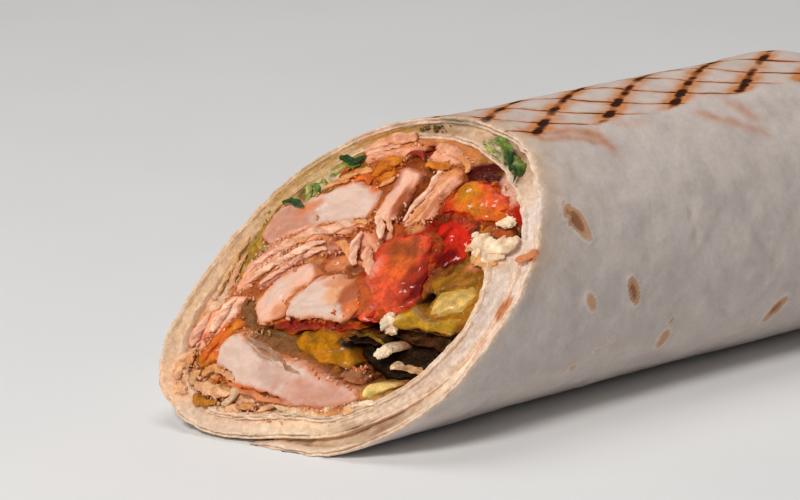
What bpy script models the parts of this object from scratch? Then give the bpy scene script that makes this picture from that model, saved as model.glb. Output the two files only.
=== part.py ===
"""Half of a shawarma wrap: thin flatbread rolled round meat, tomato, pickles and lettuce, cut on the slant.

Sizes are in millimetres here and are turned into metres as each mesh is made. X runs along the roll, with
the cut at -X and the tucked, closed end at +X. +Y is the far side, Z is up, and the roll rests on Z = 0.

Everything is first laid out straight, in one cross-section (y, z) carried along x. `settle` then bends the
whole roll, bread and filling together, so pieces that are clear of each other in the section stay clear.
"""
import math

import bpy
import numpy as np

# Driving dimensions of the roll
MM = 0.001
CENTRE = np.array([-1.5, 31.0])       # middle of the section, y and z
FLOOR = 2.0                           # height in the section that comes to rest on the ground
REST_X = 54.0                         # place along the roll that becomes x = 0
REST_Y = -5.0                         # and across it that becomes y = 0, the middle of the flat underside
# Outer radius at twelve even steps, from straight down round by the near side
RADII = (29.4, 32.6, 34.9, 33.9, 32.8, 32.1, 31.3, 31.8, 32.3, 32.6, 36.0, 32.8)
CUT_LEAN = 0.9                        # how far the cut runs back for each mm up
CUT_SKEW = -0.4                       # and for each mm toward the far side
CUT_HEIGHT = 31.0                     # height at which the cut crosses x = 0
MOUTH_FLARE = 0.02                    # the mouth is wider than the roll behind it by this share
FLARE_DEPTH = 9.0
SWAY = 0.8                            # sideways wander of the roll, over SWAY_RUN
SWAY_RUN = 34.0

# The flatbread, a sheet rolled in from its outer edge under the roll
SHEET_START = -0.012                  # where the outer edge lies, in turns from straight down
SHEET_TURNS = 2.335
SHEET_THICK = 1.6
SHEET_SWELL = 0.35                    # soft dents and swellings round the roll
SWELLS = 3
EDGE_THICK = 0.8                      # thickness at the sheet's two edges
EDGE_RUN = 0.03                       # turns over which an edge thins out
SHEET_STATIONS = 98
SHEET_RINGS = (0.0, 3.0, 7.0, 18.0, 36.0, 60.0, 84.0, 110.0)
SHEET_END = 122.0
# How far the sheet lies inside the outer radius, at each turn from its outer edge
INSET = (
    (0.0, 0.0), (0.12, 0.1), (0.25, 0.1), (0.38, 0.1), (0.5, 0.2), (0.75, 0.4), (0.95, 0.9), (1.0, 1.4),
    (1.03, 2.3), (1.06, 3.0), (1.12, 4.0), (1.25, 3.3), (1.36, 3.6), (1.44, 4.3), (1.51, 3.4), (1.6, 2.6), (1.7, 2.6),
    (1.85, 3.0), (1.95, 3.7), (2.0, 4.9), (2.05, 6.0), (2.15, 7.0), (2.25, 6.6), (2.3, 7.3), (2.335, 9.4),
)
# How far the cut edge of the sheet stands back from the slanted cut, at each turn
EDGE_BACK = (
    (0.0, 0.3), (0.25, -0.4), (0.5, 0.0), (0.75, -0.5), (1.0, 0.6), (1.12, 2.0), (1.25, 1.6), (1.45, 0.6),
    (1.75, 0.8), (2.0, 0.6), (2.1, -0.2), (2.25, -0.6), (2.335, -1.8),
)

# The tucked end
END_STATIONS = 48
END_LENGTH = 17.0
END_GRIP = 5.0                        # how far the tucked end reaches back inside the sheet
END_PROUD = 0.35                      # and how far it laps over the sheet's edge
END_DIMPLE = 2.4
FOLD_ANGLES = (0.10, 0.43, 0.76)      # turns at which the folds run out from the middle
FOLD_DEPTH = 1.1
FOLD_WIDTH = 0.045
FLAP_EDGE = (0.30, 9.0)               # direction in turns, and distance from the middle, of the flap's edge
FLAP_LIFT = 1.2

# The filling
PIECE_GAP = 0.55                      # clear space between two pieces
SHEET_GAP = 0.6                       # clear space between a piece and the sheet
SLACK = 0.9                           # how far a piece may swell past its own size to fill the roll
PIECE_RINGS = (7.0, 32.0)
PIECE_END = 113.0
ACROSS = (-1.0, -0.6, 0.0, 0.6, 1.0)  # columns of a cut face, from one edge of the piece to the other
EDGE_DROP = 1.3                       # how far the rim of a cut face falls back

# Colours, as red, green and blue in linear light, with the roughness
LOOKS = {
    "flatbread": ((0.62, 0.50, 0.40), 0.75),
    "white_meat": ((0.72, 0.50, 0.38), 0.5),
    "roast_meat": ((0.55, 0.24, 0.11), 0.5),
    "dark_meat": ((0.20, 0.05, 0.03), 0.45),
    "tomato": ((0.60, 0.07, 0.03), 0.25),
    "pepper": ((0.55, 0.28, 0.03), 0.3),
    "pickle": ((0.50, 0.45, 0.14), 0.3),
    "dark_pickle": ((0.04, 0.025, 0.01), 0.25),
    "lettuce": ((0.30, 0.42, 0.12), 0.4),
    "onion": ((0.62, 0.55, 0.38), 0.4),
    "sauce": ((0.70, 0.48, 0.28), 0.4),
}

# Each piece is a strip that shows at the cut from (y0, z0) to (y1, z1).
# thick is half its thickness, bow how far its middle rises off the straight line, blunt how square its ends
# are, lean how much thicker it is at its first end, wave the ripple of a leaf, and out how far it stands
# out of the cut.
# name, look, y0, z0, y1, z1, thick, bow, blunt, lean, wave, out
PIECES = (
    ("meat_block", "white_meat", 23.8, 37.6, 4.3, 46.4, 3.9, 1.0, 3.2, -0.28, 0, 1.5),
    ("meat_arch", "roast_meat", 22.4, 26.6, 2.6, 42.2, 1.9, 4.0, 3.0, 0, 0, 1.2),
    ("meat_fold", "roast_meat", 19.0, 28.0, 4.6, 37.8, 1.9, 3.0, 3.0, 0, 0, 0.2),
    ("meat_sliver", "roast_meat", 8.8, 33.4, -2.0, 32.6, 1.5, 1.6, 3.0, 0, 0, -0.6),
    ("meat_stub", "white_meat", 9.6, 33.6, 14.0, 22.4, 2.9, 0.6, 3.0, 0, 0, 1.0),
    ("meat_almond", "white_meat", 10.3, 26.3, -5.6, 27.0, 3.6, 1.6, 2.4, 0, 0, 1.5),
    ("meat_strand", "white_meat", 5.8, 40.8, -5.2, 32.4, 1.4, 0.4, 3.0, 0, 0, -0.4),
    ("meat_slab", "white_meat", 0.4, 42.8, 1.8, 52.4, 2.7, 0.0, 2.6, 0, 0, 1.0),
    ("meat_brown_edge", "roast_meat", -3.2, 51.8, -3.0, 43.0, 1.3, 0.0, 3.0, 0, 0, -1.5),
    ("meat_ribbon", "roast_meat", -8.0, 54.0, -3.6, 40.6, 2.2, 1.2, 3.0, 0, 0, 1.5),
    ("meat_curl", "roast_meat", 3.2, 43.2, -2.8, 38.8, 1.4, 0.4, 3.0, 0, 0, -1.0),
    ("meat_golden", "roast_meat", 9.4, 51.6, 3.0, 48.0, 2.6, 0.3, 2.6, 0, 0, 0.4),
    ("meat_top_strip", "roast_meat", 13.2, 52.6, 1.6, 55.8, 1.1, 0.8, 3.0, 0, 0, 0.6),
    ("meat_dark_core", "dark_meat", 2.8, 54.4, -1.8, 53.2, 1.1, 0.0, 3.0, 0, 0, -2.0),
    ("meat_browned", "roast_meat", -0.6, 54.4, -10.2, 54.6, 2.2, 0.8, 3.0, 0, 0, 0.6),
    ("meat_shred", "dark_meat", -10.0, 53.0, -20.6, 49.0, 0.75, 1.1, 3.0, 0, 0, -1.5),
    ("meat_wedge", "white_meat", 17.4, 18.6, -15.6, 13.2, 2.7, -1.6, 3.2, 0.35, 0, 2.2),
    ("meat_skin", "white_meat", 20.0, 25.2, 12.2, 21.2, 0.8, -0.4, 3.0, 0, 0, 0.2),
    ("meat_salmon", "roast_meat", 20.6, 26.6, 21.9, 18.6, 1.7, 0.2, 3.0, 0, 0, 0.2),
    ("meat_side_bit", "roast_meat", 24.4, 23.6, 24.0, 15.4, 1.2, 0.2, 2.6, 0, 0, -0.3),
    ("meat_orange", "roast_meat", 18.8, 22.6, 20.0, 12.8, 2.0, 0.0, 3.0, 0, 0, 0.5),
    ("meat_ring", "sauce", 20.6, 13.2, 11.2, 12.2, 1.5, -0.4, 2.6, 0, 0, 0.0),
    ("meat_scrap", "roast_meat", -3.5, 17.0, -14.2, 15.2, 0.9, 0.2, 3.0, 0, 0, -0.8),
    ("sauced_strip", "dark_meat", 13.0, 22.2, -7.4, 23.8, 1.0, 0.1, 3.2, 0, 0, -0.8),
    ("tomato_wedge", "tomato", -5.6, 41.2, -9.6, 25.8, 6.5, 0.0, 2.6, 0, 0, 0.6),
    ("tomato_slice", "tomato", -9.0, 48.0, -24.4, 46.0, 3.2, 0.7, 2.8, 0, 0, 0.6),
    ("tomato_core", "tomato", -12.6, 45.0, -16.4, 36.4, 4.1, 0.0, 2.6, 0, 0, -0.4),
    ("pepper_tip", "pepper", -17.6, 44.0, -26.8, 43.0, 1.5, 0.2, 3.0, 0, 0, -0.8),
    ("pickle_cap", "pickle", -16.0, 32.6, -26.4, 36.6, 3.2, 0.9, 3.0, 0, 0, -0.5),
    ("pickle_lobe", "pickle", -18.6, 30.2, -28.4, 31.4, 2.8, 0.0, 3.2, 0, 0, 0.5),
    ("pickle_rim", "pickle", -9.8, 27.2, -28.4, 26.6, 1.3, -0.2, 3.2, 0, 0, 1.5),
    ("pepper_yellow", "pepper", 4.8, 21.0, -9.6, 16.8, 2.2, 0.6, 2.8, 0, 0, -0.5),
    ("pepper_skin", "pepper", 13.0, 20.6, 1.6, 17.6, 0.8, -0.3, 3.0, 0, 0, -1.0),
    ("dark_slice_top", "dark_pickle", -10.6, 24.4, -28.4, 23.6, 1.3, 0.0, 3.2, 0, 0, -2.6),
    ("dark_slice_middle", "dark_pickle", -3.6, 22.6, -15.6, 20.6, 1.1, 0.5, 3.0, 0, 0, -1.6),
    ("dark_slice_low", "dark_pickle", -7.6, 20.0, -27.0, 18.2, 2.1, 0.0, 3.0, 0, 0, -3.4),
    ("lettuce_far", "lettuce", 22.2, 43.8, 12.8, 53.4, 0.55, 1.0, 4.0, 0, 0.2, 0.2),
    ("lettuce_curl", "lettuce", 19.8, 43.6, 10.8, 50.6, 1.1, 0.8, 4.0, 0, 0.35, 0.6),
    ("lettuce_low", "lettuce", 26.4, 39.4, 24.0, 28.2, 0.8, 0.5, 4.0, 0, 0.25, -0.4),
    ("lettuce_near", "lettuce", -8.6, 58.4, -20.2, 53.4, 0.55, 1.1, 4.0, 0, 0.15, 0.8),
    ("onion_bit", "onion", 24.2, 36.0, 20.0, 33.2, 0.9, 0.0, 3.0, 0, 0, 0.0),
    ("onion_shred", "onion", -15.0, 14.0, -20.6, 15.0, 0.9, -0.2, 3.0, 0, 0, 0.4),
    ("cream_bit", "sauce", -13.4, 21.8, -18.4, 20.8, 0.9, 0.0, 3.0, 0, 0, 0.8),
    ("sauce_layer", "sauce", 24.4, 14.8, 0.5, 10.0, 0.9, -2.7, 3.4, 0, 0, -0.6),
)
LONG_PIECE = 13.0                     # a piece longer than this gets more stations
STATIONS = 8
LONG_STATIONS = 10
LEAF_STATIONS = 12
LEAF_WAVES = 3.0


def closed_curve(values, turn):
    """Smooth closed curve through evenly spaced values, read at a place in turns."""
    points = np.asarray(values, float)
    count = len(points)
    place = np.mod(turn, 1.0) * count
    index = np.floor(place).astype(int)
    t = place - index
    a, b, c, d = (points[(index + k) % count] for k in (-1, 0, 1, 2))
    return b + 0.5 * t * (c - a + t * (2 * a - 5 * b + 4 * c - d + t * (3 * (b - c) + d - a)))


def open_curve(knots, place):
    """Smooth curve through (place, value) knots."""
    x, y = np.asarray(knots, float).T
    slope = np.gradient(y, x)
    i = np.clip(np.searchsorted(x, place) - 1, 0, len(x) - 2)
    step = x[i + 1] - x[i]
    t = np.clip((place - x[i]) / step, 0, 1)
    return ((2 * t ** 3 - 3 * t ** 2 + 1) * y[i] + (t ** 3 - 2 * t ** 2 + t) * step * slope[i]
            + (3 * t ** 2 - 2 * t ** 3) * y[i + 1] + (t ** 3 - t ** 2) * step * slope[i + 1])


def smooth_step(t):
    t = np.clip(t, 0, 1)
    return t * t * (3 - 2 * t)


def outward(turn):
    """Unit direction in the section at a place in turns, from straight down round by the near side."""
    angle = 2 * math.pi * np.asarray(turn)
    return np.stack([-np.sin(angle), -np.cos(angle)], -1)


def cut_plane(section):
    """x of the slanted cut at points of the section."""
    return CUT_LEAN * (section[..., 1] - CUT_HEIGHT) + CUT_SKEW * section[..., 0]


def ripple(a, b, phase=0.0):
    """Soft unevenness between -1 and 1, from three crossed waves."""
    return (np.sin(a + 1.3 * np.sin(b + phase)) + 0.6 * np.sin(2.3 * b - 0.7 * a + 2.1 * phase)
            + 0.4 * np.sin(3.1 * a + 2.7 * b + phase)) / 2.0


def settle(points):
    """Bend the straight roll into its true form: a flared mouth, a gentle sway and a flat underside."""
    x, section = points[..., 0], points[..., 1:]
    behind = np.maximum(x - cut_plane(section), 0)
    size = 1 - MOUTH_FLARE * (1 - np.exp(-behind / FLARE_DEPTH))
    y = CENTRE[0] + (section[..., 0] - CENTRE[0]) * size + SWAY * np.sin(x / SWAY_RUN)
    z = np.maximum((section[..., 1] - FLOOR) * size, 0)
    return np.stack([x - REST_X, y - REST_Y, z], -1) * MM


def add_object(name, look, points, triangles):
    """Make one closed object from settled points and triangles, with its faces turned out."""
    mesh = bpy.data.meshes.new(name)
    mesh.from_pydata(settle(points).tolist(), [], [tuple(map(int, face)) for face in triangles])
    mesh.update()
    mesh.shade_smooth()
    mesh.set_sharp_from_angle(angle=math.radians(50))
    item = bpy.data.objects.new(name, mesh)
    bpy.context.scene.collection.objects.link(item)
    colour, roughness = LOOKS[look]
    material = bpy.data.materials.get(look) or bpy.data.materials.new(look)
    material.use_nodes = True
    shader = material.node_tree.nodes["Principled BSDF"]
    shader.inputs["Base Color"].default_value = (*colour, 1)
    shader.inputs["Roughness"].default_value = roughness
    mesh.materials.append(material)
    return item


def grid_triangles(rows):
    """Split the quads of a grid of point numbers into triangles, all along the same diagonal."""
    a, b = rows[:-1, :-1].ravel(), rows[1:, :-1].ravel()
    c, d = rows[1:, 1:].ravel(), rows[:-1, 1:].ravel()
    return np.concatenate([np.stack([a, b, c], 1), np.stack([a, c, d], 1)])


def fan_triangles(hub, rim):
    """Triangles from one point to a row of points."""
    return np.stack([np.full(len(rim) - 1, hub), rim[:-1], rim[1:]], 1)


# Flatbread

def sheet_swell(roll):
    """Soft dents and swellings, fading out toward the outer edge."""
    return SHEET_SWELL * ripple(2 * math.pi * SWELLS * roll, 2 * math.pi * roll + 0.3 * roll) * smooth_step(roll * 8)


def sheet_radius(roll):
    """Outer radius of the rolled sheet at turns from its outer edge."""
    return closed_curve(RADII, roll + SHEET_START) - open_curve(INSET, roll) + sheet_swell(roll)


def sheet_thickness(roll):
    edge = smooth_step(np.minimum(roll, SHEET_TURNS - roll) / EDGE_RUN)
    return EDGE_THICK + (SHEET_THICK - EDGE_THICK) * edge


def sheet_middle(count=900):
    """Middle line of the rolled sheet in the section, and half its thickness there."""
    roll = np.linspace(0, SHEET_TURNS, count)
    half = sheet_thickness(roll) / 2
    radius = sheet_radius(roll) - half
    return CENTRE + outward(roll + SHEET_START) * radius[:, None], half


def rolled_sheet():
    """Points and triangles of the rolled sheet: two skins along the roll, joined at every edge."""
    roll = np.linspace(0, SHEET_TURNS, SHEET_STATIONS)
    way = outward(roll + SHEET_START)
    radius = sheet_radius(roll)
    skins = []
    for face_radius in (radius, radius - sheet_thickness(roll)):
        section = CENTRE + way * face_radius[:, None]
        ragged = open_curve(EDGE_BACK, roll) + 0.5 * ripple(roll * 31, roll * 17)
        front = cut_plane(section) + ragged
        rings = [front + depth for depth in SHEET_RINGS[:3]]
        for depth in SHEET_RINGS[3:]:
            share = smooth_step(depth / SHEET_RINGS[-1])
            rings.append((front + depth) * (1 - share) + depth * share)
        rings.append(np.full_like(front, SHEET_END))
        x = np.stack(rings, 1)
        y, z = (np.repeat(section[:, k:k + 1], x.shape[1], 1) for k in (0, 1))
        skins.append(np.stack([x, y, z], -1))
    count, rings = skins[0].shape[:2]
    points = np.concatenate([skin.reshape(-1, 3) for skin in skins])
    outer = np.arange(count * rings).reshape(count, rings)
    inner = outer + count * rings
    loop = np.concatenate([outer, inner[::-1], outer[:1]])
    ends = [grid_triangles(np.stack([outer[:, 0], inner[:, 0]])),
            grid_triangles(np.stack([inner[:, -1], outer[:, -1]]))]
    return points, np.concatenate([grid_triangles(loop)] + ends)


def tucked_end():
    """Points and triangles of the closed end, a rounded plug with the sheet's folds pressed into it."""
    turn = np.linspace(0, 1, END_STATIONS, endpoint=False)
    roll = np.mod(turn - SHEET_START, 1.0)
    fade = 1 - smooth_step((roll - 0.96) / 0.04)
    radius = closed_curve(RADII, turn) + (sheet_swell(roll) - open_curve(INSET, roll)) * fade
    way = outward(turn)
    rings = [(SHEET_END - END_GRIP, radius * 0.5), (SHEET_END - END_GRIP, radius - 0.9),
             (SHEET_END - 1.0, radius + END_PROUD)]
    for share in (0.99, 0.95, 0.87, 0.75, 0.6, 0.42, 0.22):
        bulge = (1 - share ** 2.6) ** (1 / 2.6)
        x = SHEET_END + END_LENGTH * bulge - END_DIMPLE * (1 - share) ** 2
        for angle in FOLD_ANGLES:
            aside = np.abs(np.mod(turn - angle + 0.5, 1.0) - 0.5)
            x = x - FOLD_DEPTH * np.exp(-(aside / FOLD_WIDTH) ** 2) * smooth_step(share * 3) * bulge
        reach = radius * share * np.cos(2 * math.pi * (turn - FLAP_EDGE[0]))
        x = x + FLAP_LIFT * smooth_step((reach - FLAP_EDGE[1]) / 2.5) * bulge
        rings.append((x, radius * share))
    points = []
    for x, ring_radius in rings:
        section = CENTRE + way * ring_radius[:, None]
        points.append(np.column_stack([np.broadcast_to(x, ring_radius.shape), section]))
    inside = np.array([[SHEET_END - END_GRIP, *CENTRE]])
    tip = np.array([[SHEET_END + END_LENGTH - END_DIMPLE, *CENTRE]])
    points = np.concatenate(points + [inside, tip])
    numbers = np.arange(len(rings) * END_STATIONS).reshape(len(rings), END_STATIONS)
    numbers = np.concatenate([numbers, numbers[:, :1]], 1)
    hub = len(rings) * END_STATIONS
    return points, np.concatenate([
        grid_triangles(numbers), fan_triangles(hub, numbers[0]), fan_triangles(hub + 1, numbers[-1][::-1])])


def face_out(item):
    """Turn the object's faces outward if its volume comes out negative."""
    mesh = item.data
    mesh.calc_loop_triangles()
    corners = np.array([[mesh.vertices[v].co for v in t.vertices] for t in mesh.loop_triangles])
    volume = np.einsum("ij,ij->i", corners[:, 0], np.cross(corners[:, 1], corners[:, 2])).sum() / 6
    if volume < 0:
        mesh.flip_normals()


def flatbread():
    """The rolled sheet and its tucked end, joined into one solid."""
    bread = add_object("flatbread", "flatbread", *rolled_sheet())
    end = add_object("tucked_end", "flatbread", *tucked_end())
    for item in (bread, end):
        face_out(item)
    union = bread.modifiers.new("join", "BOOLEAN")
    union.operation = "UNION"
    union.solver = "EXACT"
    union.object = end
    bpy.context.view_layer.update()
    joined = bpy.data.meshes.new_from_object(bread.evaluated_get(bpy.context.evaluated_depsgraph_get()))
    bread.modifiers.clear()
    bread.data = joined
    bpy.data.objects.remove(end)


# Filling

class Strip:
    """One piece of filling as it shows at the cut: a bowed line with a half thickness along it."""

    def __init__(self, row):
        self.name, self.look, y0, z0, y1, z1, *shape = row
        self.thick, self.bow, self.blunt, self.lean, self.wave, self.out = shape
        ends = np.array([[y0, z0], [y1, z1]])
        self.middle = ends.mean(0)
        self.half_run = (ends[1] - ends[0]) / 2
        self.length = 2 * np.hypot(*self.half_run)
        self.rise = np.array([self.half_run[1], -self.half_run[0]]) * 2 / self.length
        u = np.linspace(-1, 1, 31)
        self.samples = self.line(u)
        self.sample_half = self.half(u)

    def line(self, u):
        """Point of the middle line at u from -1 to 1: a parabola, with a ripple on a leaf."""
        u = np.asarray(u)[..., None]
        lift = self.bow * (1 - u ** 2) + self.wave * np.sin(math.pi * LEAF_WAVES * u)
        return self.middle + self.half_run * u + self.rise * lift

    def side(self, u):
        """Unit direction across the middle line."""
        u = np.asarray(u)[..., None]
        swing = math.pi * LEAF_WAVES
        tilt = -2 * self.bow * u + self.wave * swing * np.cos(swing * u)
        along = self.half_run + self.rise * tilt
        along = along / np.linalg.norm(along, axis=-1, keepdims=True)
        return np.stack([along[..., 1], -along[..., 0]], -1)

    def half(self, u):
        """Half thickness at u, full in the middle and rounded off at the ends."""
        return self.thick * np.sqrt(1 - np.abs(u) ** self.blunt) * (1 - self.lean * np.asarray(u))

    def reach(self, section):
        """How far each point lies outside the strip, less than 0 inside it."""
        away = np.linalg.norm(section[..., None, :] - self.samples, axis=-1)
        return (away - self.sample_half).min(-1)


def room(strip, strips, sheet, section):
    """Space left for the strip at each point, above 0 where the point is its own to fill."""
    own = strip.reach(section)
    others = np.min([other.reach(section) for other in strips if other is not strip], axis=0)
    line, half = sheet
    wall = (np.linalg.norm(section[..., None, :] - line, axis=-1) - half).min(-1)
    return np.minimum(others - PIECE_GAP - own, wall - SHEET_GAP)


def strip_outline(strip, strips, sheet):
    """Stations along the strip, with the points of its two edges, grown until they meet a neighbour."""
    u = np.linspace(-1, 1, 81)
    free = room(strip, strips, sheet, strip.line(u))
    first = last = int(np.argmax(np.minimum(free, strip.half(u) + 0.2 * (1 - np.abs(u)))))
    while first > 0 and free[first - 1] > 0:
        first -= 1
    while last < len(u) - 1 and free[last + 1] > 0:
        last += 1
    if strip.wave:
        count = LEAF_STATIONS
    else:
        count = LONG_STATIONS if strip.length > LONG_PIECE else STATIONS
    spread = -np.cos(math.pi * np.arange(count) / (count - 1))
    at = (u[first] + u[last]) / 2 + (u[last] - u[first]) / 2 * spread
    line, side = strip.line(at), strip.side(at)
    limit = strip.half(at) + (0.15 if strip.wave else SLACK) * (1 - np.abs(spread) ** 6)
    steps = np.linspace(0, 1, 60)[:, None] * limit
    edges = []
    for sign in (1, -1):
        tries = line + sign * side * steps[..., None]
        good = room(strip, strips, sheet, tries) > 0
        reached = np.where(good.all(0), len(steps), np.argmin(good, 0)) - 1
        width = steps[np.maximum(reached, 0), np.arange(count)]
        width[[0, -1]] = 0
        edges.append(line + sign * side * np.maximum(width, 0)[:, None])
    return edges


def filling_piece(strip, strips, sheet, number):
    """One piece of filling: an uneven cut face, sides that run back along the roll, and a plain back."""
    one, other = strip_outline(strip, strips, sheet)
    count = len(one)
    across = np.asarray(ACROSS)
    share = (across + 1) / 2
    face = one[:, None] * (1 - share[:, None]) + other[:, None] * share[:, None]
    along = np.linspace(-1, 1, count)[:, None]
    drop = EDGE_DROP * np.maximum(np.abs(along) ** 4, across ** 4)
    uneven = 0.45 * ripple(2.2 * along + 0 * across, 1.6 * across + 0.9 * along, number)
    front = cut_plane(face) - strip.out + drop + uneven
    cut = np.concatenate([front[..., None], face], -1)
    tips = cut[[0, -1], len(across) // 2]
    body = cut[1:-1]
    rim = np.concatenate([tips[:1], body[:, 0], tips[1:], body[::-1, -1]])
    rings = [rim]
    for depth in PIECE_RINGS:
        ring = rim.copy()
        ring[:, 0] = cut_plane(rim[:, 1:]) * (1 - smooth_step(depth / PIECE_END)) + depth
        rings.append(ring)
    back = rim.copy()
    back[:, 0] = PIECE_END - 0.5 * (number % 3)
    rings.append(back)
    points = np.concatenate([body.reshape(-1, 3), tips] + rings[1:])
    width = len(across)
    grid = np.arange((count - 2) * width).reshape(count - 2, width)
    tip_numbers = [grid.size, grid.size + 1]
    loops = [np.concatenate([tip_numbers[:1], grid[:, 0], tip_numbers[1:], grid[::-1, -1]])]
    start = grid.size + 2
    for _ in rings[1:]:
        loops.append(np.arange(start, start + len(rim)))
        start += len(rim)
    tube = np.array([np.concatenate([loop, loop[:1]]) for loop in loops])
    end = loops[-1]
    left = end[1:count - 1]
    right = end[:count - 1:-1]
    faces = [grid_triangles(grid), fan_triangles(tip_numbers[0], grid[0]),
             fan_triangles(tip_numbers[1], grid[-1][::-1]), grid_triangles(tube),
             grid_triangles(np.stack([right, left], 1)),
             np.array([[end[0], right[0], left[0]], [end[count - 1], left[-1], right[-1]]])]
    return points, np.concatenate(faces)


def filling():
    strips = [Strip(row) for row in PIECES]
    sheet = sheet_middle()
    for number, strip in enumerate(strips):
        item = add_object(strip.name, strip.look, *filling_piece(strip, strips, sheet, number))
        face_out(item)


def main():
    for item in list(bpy.data.objects):
        bpy.data.objects.remove(item)
    flatbread()
    filling()


main()
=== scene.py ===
"""Looks of half a shawarma wrap: grilled flatbread round meat, tomato, pickles, lettuce and sauce.

Shapes are worked out in millimetres on the straight roll, as the solids were: x along the roll, and a
cross-section (y, z). `settle` bends them into place. Finished meshes are in metres, in the solids' frame.
"""

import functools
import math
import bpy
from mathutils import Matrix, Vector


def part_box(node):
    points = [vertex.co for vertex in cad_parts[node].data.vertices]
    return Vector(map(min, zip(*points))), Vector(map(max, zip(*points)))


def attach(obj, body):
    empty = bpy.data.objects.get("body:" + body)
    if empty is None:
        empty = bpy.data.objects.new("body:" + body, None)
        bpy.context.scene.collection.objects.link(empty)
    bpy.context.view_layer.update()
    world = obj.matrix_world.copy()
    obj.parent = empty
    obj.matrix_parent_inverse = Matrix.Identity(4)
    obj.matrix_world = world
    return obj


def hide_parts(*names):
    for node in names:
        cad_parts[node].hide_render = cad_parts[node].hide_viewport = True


bl_info = {
    "name": "Shawarma Wrap",
    "version": (1, 0, 0),
    "blender": (4, 5, 0),
    "location": "3D View > Sidebar > Wrap",
    "description": "Dresses half a rolled wrap: bread, meat, vegetables, sauce, crumbs and a plain studio",
    "category": "Object",
}

import bpy
import numpy as np
from bpy.props import FloatProperty, FloatVectorProperty, IntProperty, PointerProperty
from mathutils import Vector

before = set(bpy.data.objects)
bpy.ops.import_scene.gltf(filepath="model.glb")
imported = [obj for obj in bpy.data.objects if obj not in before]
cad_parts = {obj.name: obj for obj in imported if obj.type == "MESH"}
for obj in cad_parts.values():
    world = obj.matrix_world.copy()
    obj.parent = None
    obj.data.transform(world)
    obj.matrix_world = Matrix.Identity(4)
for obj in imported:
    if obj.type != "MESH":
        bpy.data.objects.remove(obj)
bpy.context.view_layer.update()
BODY = "root"
MM = 0.001

# Form of the roll, the same named sizes as the solids have
CENTRE = np.array([-1.5, 31.0])
FLOOR = 2.0
REST_X = 54.0
REST_Y = -5.0
RADII = (29.4, 32.6, 34.9, 33.9, 32.8, 32.1, 31.3, 31.8, 32.3, 32.6, 36.0, 32.8)
CUT_LEAN = 0.9
CUT_SKEW = -0.4
CUT_HEIGHT = 31.0
MOUTH_FLARE = 0.02
FLARE_DEPTH = 9.0
SWAY = 0.8
SWAY_RUN = 34.0
SHEET_START = -0.012
SHEET_TURNS = 2.335
SHEET_THICK = 1.6
SHEET_SWELL = 0.35
SWELLS = 3
EDGE_THICK = 0.8
EDGE_RUN = 0.03
SHEET_END = 122.0
INSET = (
    (0.0, 0.0), (0.12, 0.1), (0.25, 0.1), (0.38, 0.1), (0.5, 0.2), (0.75, 0.4), (0.95, 0.9), (1.0, 1.4),
    (1.03, 2.3), (1.06, 3.0), (1.12, 4.0), (1.25, 3.3), (1.36, 3.6), (1.44, 4.3), (1.51, 3.4), (1.6, 2.6),
    (1.7, 2.6), (1.85, 3.0), (1.95, 3.7), (2.0, 4.9), (2.05, 6.0), (2.15, 7.0), (2.25, 6.6), (2.3, 7.3),
    (2.335, 9.4),
)
EDGE_BACK = (
    (0.0, 0.3), (0.25, -0.4), (0.5, 0.0), (0.75, -0.5), (1.0, 0.6), (1.12, 2.0), (1.25, 1.6), (1.45, 0.6),
    (1.75, 0.8), (2.0, 0.6), (2.1, -0.2), (2.25, -0.6), (2.335, -1.8),
)
END_LENGTH = 17.0
END_GRIP = 5.0
END_PROUD = 0.3
END_LAP = 16.0  # run over which the end comes out through the sheet
LAP_RINGS = 16
END_DIMPLE = 2.4
FOLD_ANGLES = (0.10, 0.43, 0.76)
FOLD_DEPTH = 1.1
FOLD_WIDTH = 0.045
FLAP_EDGE = (0.30, 9.0)
FLAP_LIFT = 1.2
PIECE_GAP = 0.55
SHEET_GAP = 0.6
PIECE_RINGS = (7.0, 32.0)
PIECE_END = 113.0
LEAF_WAVES = 3.0

# Finer sizes that only the looks have, in millimetres, and counts of points
MEAN_RADIUS = 31.0  # of the roll, to turn turns into lengths round it
SKIN_RADIUS = 32.0  # of the outer skin, for the same
FOLD_RADIUS = 30.0  # of the crumb between the layers, for the same
GIRTH = 200.0  # length round the outer skin, for the lines on it
LATTICE = 128  # random values along each side of a noise table
SKIN_END = 1.02  # turn at which the sheet passes under its own outer edge
MIDDLE_STATIONS = 900  # places on the sheet's middle line, which the filling keeps clear of
SPLIT_TURN = 1.045  # where the outer turn's mesh hands over to the inner turns'
SPLIT_OVERLAP = 0.03
OUTER_STATIONS = 380
INNER_STATIONS = 400
NEAR_RINGS = (0.0, 0.35, 0.8, 1.4, 2.2, 3.2, 4.4, 5.8, 7.4, 9.2)
BACK_STEP = 0.72
FRINGE = 0.45  # raggedness of the bread's cut edge
CRUST_SOFT = 0.3  # how far the cut edge is rounded over
EDGE_ROWS = (0.1, 0.28, 0.5, 0.72, 0.9)  # rows of points across the cut edge, and how far each stands back
EDGE_GROOVE = (-0.25, 0.1, 0.6, 0.1, -0.25)
END_RINGS = 90
END_STATIONS = 360
END_SPOTS = ((8.0, 8.0, 2.6), (-9.0, 12.0, 1.8), (-12.0, -8.0, 2.4), (4.0, -13.0, 1.6), (18.0, -4.0, 2.0))
LUMP_GRID = (32, 48)  # rings, and points in each: of a soft lump, a crumb and a strand
CRUMB_GRID = (6, 7)
STRAND_GRID = (90, 28)
BACK_DEPTH = 7.0  # how far the back of the crumb between the layers lies behind its face
BED_DEPTH = 6.0  # the same of the sauce between the pieces
STAIN_REACH = 14.0  # how far behind the cut the bread is stained
PIECE_POINTS = (26, 9)  # fewest points along and across the cut face of a piece
RING_REACH = 87.0  # where the evenly spaced rings of the bread stop
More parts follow.
